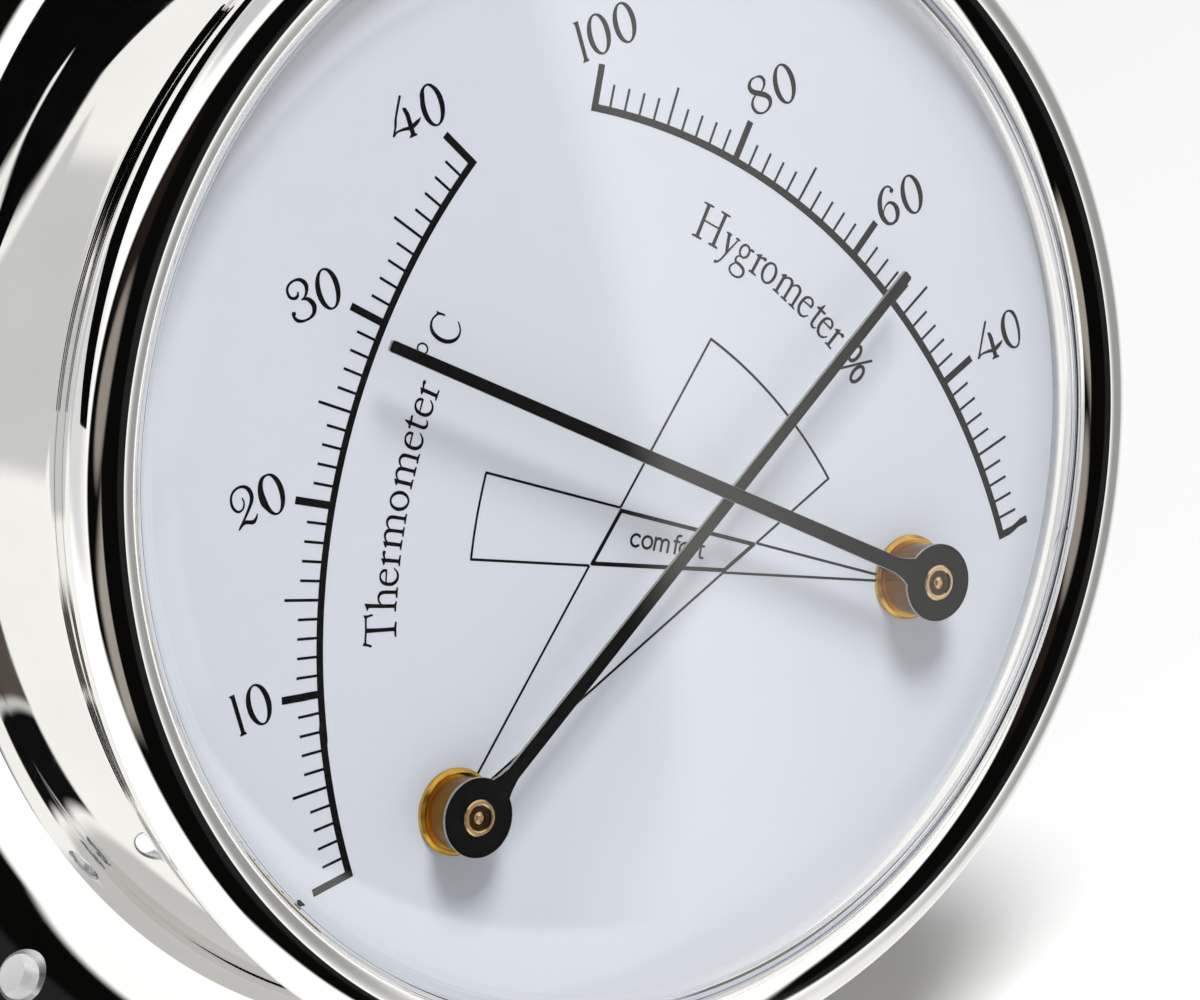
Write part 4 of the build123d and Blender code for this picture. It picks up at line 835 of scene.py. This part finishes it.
def scale_outline(mirrored):
    """One closed outline: the outer edge with a graduation stroke every 1.5 degrees, then the inner edge."""
    cx, r_in, r_out = -20.0, 50.92, 51.48

    def at(r, a, off=0.0):
        """Point at radius r on the stroke's own axis, moved sideways by off."""
        ca, sa = math.cos(rad(a)), math.sin(rad(a))
        return (cx + r * ca - off * sa, -20.0 + r * sa + off * ca)

    def on_r(r, a, off):
        """The point of a stroke's side line that lies on radius r."""
        return at(math.sqrt(r * r - off * off), a, off)

    ticks = []
    for i in range(41):
        if i % 10 == 0:
            ticks.append((1.5 * i, 54.35, 0.28))
        elif i % 5 == 0:
            ticks.append((1.5 * i, 54.30, 0.105))
        else:
            ticks.append((1.5 * i, 53.10, 0.10))
    a0, a1 = 0.0, 60.0
    pts = []
    # outer edge, counter-clockwise from angle 0 to 60
    for n, (a, tip, h) in enumerate(ticks):
        if n:
            pa = ticks[n - 1][0] + math.degrees(ticks[n - 1][2] / r_out)
            pb = a - math.degrees(h / r_out)
            for j in (1, 2, 3):
                pts.append(at(r_out, pa + (pb - pa) * j / 4))
        pts.append(on_r(r_in if n == 0 else r_out, a, -h))
        pts.append(at(tip, a, -h))
        pts.append(at(tip, a, h))
        pts.append(on_r(r_in if n == 40 else r_out, a, h))
    # inner edge, back from 60 to 0
    m = 160
    b0 = a0 - math.degrees(0.28 / r_in)
    b1 = a1 + math.degrees(0.28 / r_in)
    for j in range(1, m):
        pts.append(at(r_in, b1 + (b0 - b1) * j / m))
    if mirrored:
        pts = [(-px, py) for px, py in reversed(pts)]
    return pts


print_piece("print_hygrometer_scale", [[scale_outline(False)]])
print_piece("print_thermometer_scale", [[scale_outline(True)]])
print_piece("print_numerals", [upright(g, ox, oy) for g, ox, oy in NUM])
print_piece("print_thermometer_word", [on_arc(g, 20.0, a) for g, a in THERMO])
print_piece("print_hygrometer_word", [on_arc(g, -20.0, a) for g, a in HYGRO] + [on_arc("pct", -20.0, 24.34, 44.46)])


def bolder(loops, d):
    """Outlines moved outwards by d: outer loops grow, counters shrink."""
    res = []
    for lp in loops:
        n = len(lp)
        row = []
        for i in range(n):
            p0, p1, p2 = lp[i - 1], lp[i], lp[(i + 1) % n]
            d1 = Vector((p1[0] - p0[0], p1[1] - p0[1])).normalized()
            d2 = Vector((p2[0] - p1[0], p2[1] - p1[1])).normalized()
            nn = Vector((-(d1.y + d2.y), d1.x + d2.x)).normalized()
            c = max(0.6, nn.dot(Vector((-d1.y, d1.x))))
            row.append((p1[0] - nn.x * d / c, p1[1] - nn.y * d / c))
        res.append(row)
    return res


ct, st = math.cos(rad(-31.0)), math.sin(rad(-31.0))
print_piece("print_comfort_word", [moved(bolder(glyph("comfort"), 0.018), lambda a, b: (-0.94 + a * ct - b * st, -7.47 + a * st + b * ct))])
print_piece("print_comfort_zones", [glyph("wedges")])

# ------------------------------------------------------------------ CAD nodes that stay
KEEP = {
    "dial_plate": DIAL,
    "back_cover": COVER,
    "back_cover_screws": STEEL,
    "bush_washers": STEEL,
    "thermometer_bush_nut": PLATE,
    "hygrometer_bush_nut": PLATE,
    "thermometer_carrier_plate": PLATE,
    "hygrometer_carrier_plate": PLATE,
    "thermometer_bridge": PLATE,
    "hygrometer_bridge": PLATE,
    "bridge_pillars": PLATE,
    "bridge_screws": STEEL,
    "bimetal_coil": STRIP,
    "humidity_coil": STRIP,
    "thermometer_coil_hub": PLATE,
    "hygrometer_coil_hub": PLATE,
    "thermometer_coil_post": PLATE,
    "adjuster_lever": STEEL,
    "adjuster_clip": STEEL,
}
for n, m in KEEP.items():
    ob = NODES[n]
    for i in range(max(1, len(ob.material_slots))):
        if i < len(ob.material_slots):
            ob.material_slots[i].material = m
        else:
            ob.data.materials.append(m)

# ------------------------------------------------------------------ camera
cam = bpy.data.cameras.new("camera")
cam_ob = bpy.data.objects.new("camera", cam)
scene.collection.objects.link(cam_ob)
cam.sensor_fit = "HORIZONTAL"
cam.sensor_width = 36.0
cam.lens = 188.878
cam.clip_start, cam.clip_end = 0.02, 50.0
rv = Vector((3.16908557, -0.57343981, 0.9879438))
R = Matrix.Rotation(rv.length, 3, rv.normalized())


def axis_of(row):
    v = R[row]
    return Vector((v[0], -v[2], v[1]))


right, down, fwd = axis_of(0), axis_of(1), axis_of(2)
M = Matrix.Identity(4)
for i in range(3):
    M[i][0], M[i][1], M[i][2] = right[i], -down[i], -fwd[i]
M.translation = Vector((-0.23433, -0.39640, 0.13898))
cam_ob.matrix_world = M
scene.camera = cam_ob

# ------------------------------------------------------------------ floor
bm = bmesh.new()
bmesh.ops.create_grid(bm, x_segments=2, y_segments=2, size=4.0)
me = bpy.data.meshes.new("floor")
bm.to_mesh(me)
bm.free()
floor = bpy.data.objects.new("floor", me)
scene.collection.objects.link(floor)
floor.location = (0.0, 0.0, -0.0582)
fm, fnt, fbs, _ = mat("floor_paper")
fbs.inputs["Base Color"].default_value = (0.74, 0.74, 0.74, 1.0)
fbs.inputs["Roughness"].default_value = 0.9
fbs.inputs["Specular IOR Level"].default_value = 0.1
me.materials.append(fm)
floor.visible_glossy = floor.visible_transmission = False  # mirrors see the studio round the object instead

# ------------------------------------------------------------------ studio: white tent with a dark opening in front
world = bpy.data.worlds.new("studio")
scene.world = world
world.use_nodes = True
wt = world.node_tree
bg = next(n for n in wt.nodes if n.type == "BACKGROUND")
wout = next(n for n in wt.nodes if n.type == "OUTPUT_WORLD")
sp = node(wt, "ShaderNodeSeparateXYZ")
wt.links.new(node(wt, "ShaderNodeTexCoord").outputs["Generated"], sp.inputs[0])
AZ = math_node(wt, "MULTIPLY", math_node(wt, "ARCTAN2", sp.outputs["X"], math_node(wt, "MULTIPLY", sp.outputs["Y"], -1.0)), 57.29578)
EL = math_node(wt, "MULTIPLY", math_node(wt, "ARCSINE", sp.outputs["Z"]), 57.29578)


def step_up(v, a, b):
    """0 below a, 1 above b."""
    m = node(wt, "ShaderNodeMapRange", interpolation_type="SMOOTHSTEP")
    for key, val in zip(("From Min", "From Max", "To Min", "To Max"), (a, b, 0.0, 1.0)):
        m.inputs[key].default_value = val
    wt.links.new(v, m.inputs["Value"])
    return m.outputs["Result"]


def step_down(v, a, b):
    return math_node(wt, "SUBTRACT", 1.0, step_up(v, a, b))


def both(*ms):
    out = ms[0]
    for m in ms[1:]:
        out = math_node(wt, "MULTIPLY", out, m)
    return out


def oval(a, e, ra, re, soft, power=2.0):
    da = math_node(wt, "POWER", math_node(wt, "ABSOLUTE", math_node(wt, "MULTIPLY", math_node(wt, "SUBTRACT", AZ, a), 1.0 / ra)), power)
    de = math_node(wt, "POWER", math_node(wt, "ABSOLUTE", math_node(wt, "MULTIPLY", math_node(wt, "SUBTRACT", EL, e), 1.0 / re)), power)
    return step_down(math_node(wt, "ADD", da, de), 1.0 - soft, 1.0 + soft)


def line(slope, offset):
    """Height above the line el = offset + slope * az."""
    return math_node(wt, "SUBTRACT", EL, math_node(wt, "ADD", math_node(wt, "MULTIPLY", AZ, slope), offset))


class Sky:
    def __init__(self, col):
        rgb = node(wt, "ShaderNodeRGB")
        rgb.outputs[0].default_value = (*col, 1.0)
        self.out = rgb.outputs[0]

    def lay(self, mask, col):
        m = node(wt, "ShaderNodeMix", data_type="RGBA")
        wt.links.new(mask, m.inputs["Factor"])
        wt.links.new(self.out, m.inputs["A"])
        m.inputs["B"].default_value = (*col, 1.0)
        self.out = m.outputs["Result"]


sky = Sky((1.30, 1.28, 1.25))
sky.lay(both(step_down(AZ, -125.0, -75.0), step_up(EL, -5.0, 3.0), step_down(EL, 28.0, 52.0)), (0.83, 0.835, 0.84))
sky.lay(both(step_down(AZ, -165.0, -120.0), step_up(EL, 20.0, 75.0)), (0.66, 0.66, 0.67))
sky.lay(both(step_up(EL, 68.0, 78.0)), (0.70, 0.70, 0.71))
# to the right: grey paper, lighter further round
sky.lay(both(step_up(AZ, 32.0, 40.0), step_down(EL, -8.0, 0.0)), (0.92, 0.92, 0.90))
sky.lay(both(oval(68.0, -20.0, 26.0, 24.0, 0.7)), (0.38, 0.38, 0.375))
sky.lay(both(step_up(AZ, 92.0, 135.0)), (1.10, 1.09, 1.07))
sky.lay(both(step_up(AZ, 40.0, 60.0), step_down(EL, -55.0, -42.0)), (1.05, 1.03, 1.0))
# the dark opening
dark = both(
    oval(-26.0, 1.0, 60.0, 48.0, 0.16, 3.2),
    step_up(line(-0.80, -78.0), -4.0, 5.0),
    step_down(AZ, 30.5, 33.5),
)
sky.lay(dark, (0.0035, 0.0033, 0.0030))
sky.lay(both(oval(-38.0, 36.0, 24.0, 10.0, 0.7)), (0.020, 0.013, 0.010))
# pale things beyond the opening
sky.lay(both(step_up(AZ, -76.0, -60.0), step_down(AZ, -42.0, -38.0), step_up(EL, -25.0, -19.0), step_down(line(0.22, 14.0), -5.0, 4.0)), (0.40, 0.365, 0.32))
sky.lay(both(oval(-47.0, 20.0, 19.0, 11.0, 0.6)), (0.34, 0.30, 0.265))
sky.lay(both(step_up(AZ, 6.0, 12.0), step_down(AZ, 30.0, 33.0), step_up(EL, -29.0, -24.0), step_down(EL, -6.0, 2.0)), (0.02, 0.02, 0.02))

# what one mirror face shows of the studio by way of another
sky2 = Sky((1.30, 1.29, 1.26))
sky2.lay(both(step_up(EL, 1.0, 4.0), step_down(EL, 37.0, 41.0), step_down(AZ, -15.0, -10.0)), (0.83, 0.835, 0.84))
sky2.lay(both(step_up(EL, 42.0, 50.0), step_up(line(0.62, 66.0), -3.0, 3.0), step_down(AZ, 4.0, 10.0), step_up(AZ, -112.0, -100.0)), (0.004, 0.004, 0.004))
sky2.lay(both(step_down(EL, -52.0, -46.0)), (0.74, 0.735, 0.715))
sky2.lay(both(step_down(AZ, -66.0, -60.0), step_up(EL, -47.0, -43.0), step_down(EL, -29.0, -26.0), step_up(AZ, -150.0, -120.0)), (0.006, 0.006, 0.006))
sky2.lay(both(step_down(AZ, -64.0, -60.0), step_up(EL, -28.0, -25.0), step_down(EL, -14.0, -6.0), step_up(AZ, -150.0, -120.0)), (0.12, 0.10, 0.085))

lp = node(wt, "ShaderNodeLightPath")
far = node(wt, "ShaderNodeMix", data_type="RGBA")
wt.links.new(math_node(wt, "GREATER_THAN", lp.outputs["Glossy Depth"], 1.5), far.inputs["Factor"])
wt.links.new(sky.out, far.inputs["A"])
wt.links.new(sky2.out, far.inputs["B"])
even = node(wt, "ShaderNodeMix", data_type="RGBA")
even.inputs["A"].default_value = (0.33, 0.33, 0.33 * 1.01, 1.0)
wt.links.new(lp.outputs["Is Glossy Ray"], even.inputs["Factor"])
wt.links.new(far.outputs["Result"], even.inputs["B"])
seen = node(wt, "ShaderNodeMix", data_type="RGBA")
wt.links.new(lp.outputs["Is Camera Ray"], seen.inputs["Factor"])
wt.links.new(even.outputs["Result"], seen.inputs["A"])
seen.inputs["B"].default_value = (1.0, 1.0, 1.0, 1.0)
wt.links.new(seen.outputs["Result"], bg.inputs["Color"])
bg.inputs["Strength"].default_value = 1.0


def area(name, loc, target, size, size_y, power, color=(1, 1, 1)):
    l = bpy.data.lights.new(name, "AREA")
    l.shape = "RECTANGLE"
    l.size, l.size_y = size, size_y
    l.energy = power
    l.color = color
    ob = bpy.data.objects.new(name, l)
    scene.collection.objects.link(ob)
    ob.location = loc
    ob.rotation_mode = "QUATERNION"
    ob.rotation_quaternion = (Vector(target) - Vector(loc)).to_track_quat("-Z", "Y")
    return ob


key = area("key", (0.32, -1.696, 2.656), (0, 0, 0), 0.95, 0.95, 125.0)
key.visible_glossy = key.visible_transmission = False


def flag(name, corners, tone):
    """Dark card that only mirrors see."""
    bm = bmesh.new()
    bm.faces.new([bm.verts.new(c) for c in corners])
    me = bpy.data.meshes.new(name)
    bm.to_mesh(me)
    bm.free()
    ob = bpy.data.objects.new(name, me)
    scene.collection.objects.link(ob)
    m, nt, bs, out = mat(name + "_card")
    em = node(nt, "ShaderNodeEmission")
    em.inputs["Color"].default_value = (*tone, 1.0)
    nt.links.new(em.outputs[0], out.inputs["Surface"])
    me.materials.append(m)
    ob.visible_camera = False
    ob.visible_diffuse = False
    ob.visible_transmission = False
    ob.visible_volume_scatter = False
    ob.visible_shadow = False
    return ob


flag("flag_top", [(-0.16, -0.0145, 0.062), (-0.012, -0.0145, 0.062), (-0.012, 0.06, 0.062), (-0.16, 0.06, 0.062)], (0.003, 0.003, 0.003))

scene.view_settings.view_transform = "Standard"
scene.view_settings.look = "None"
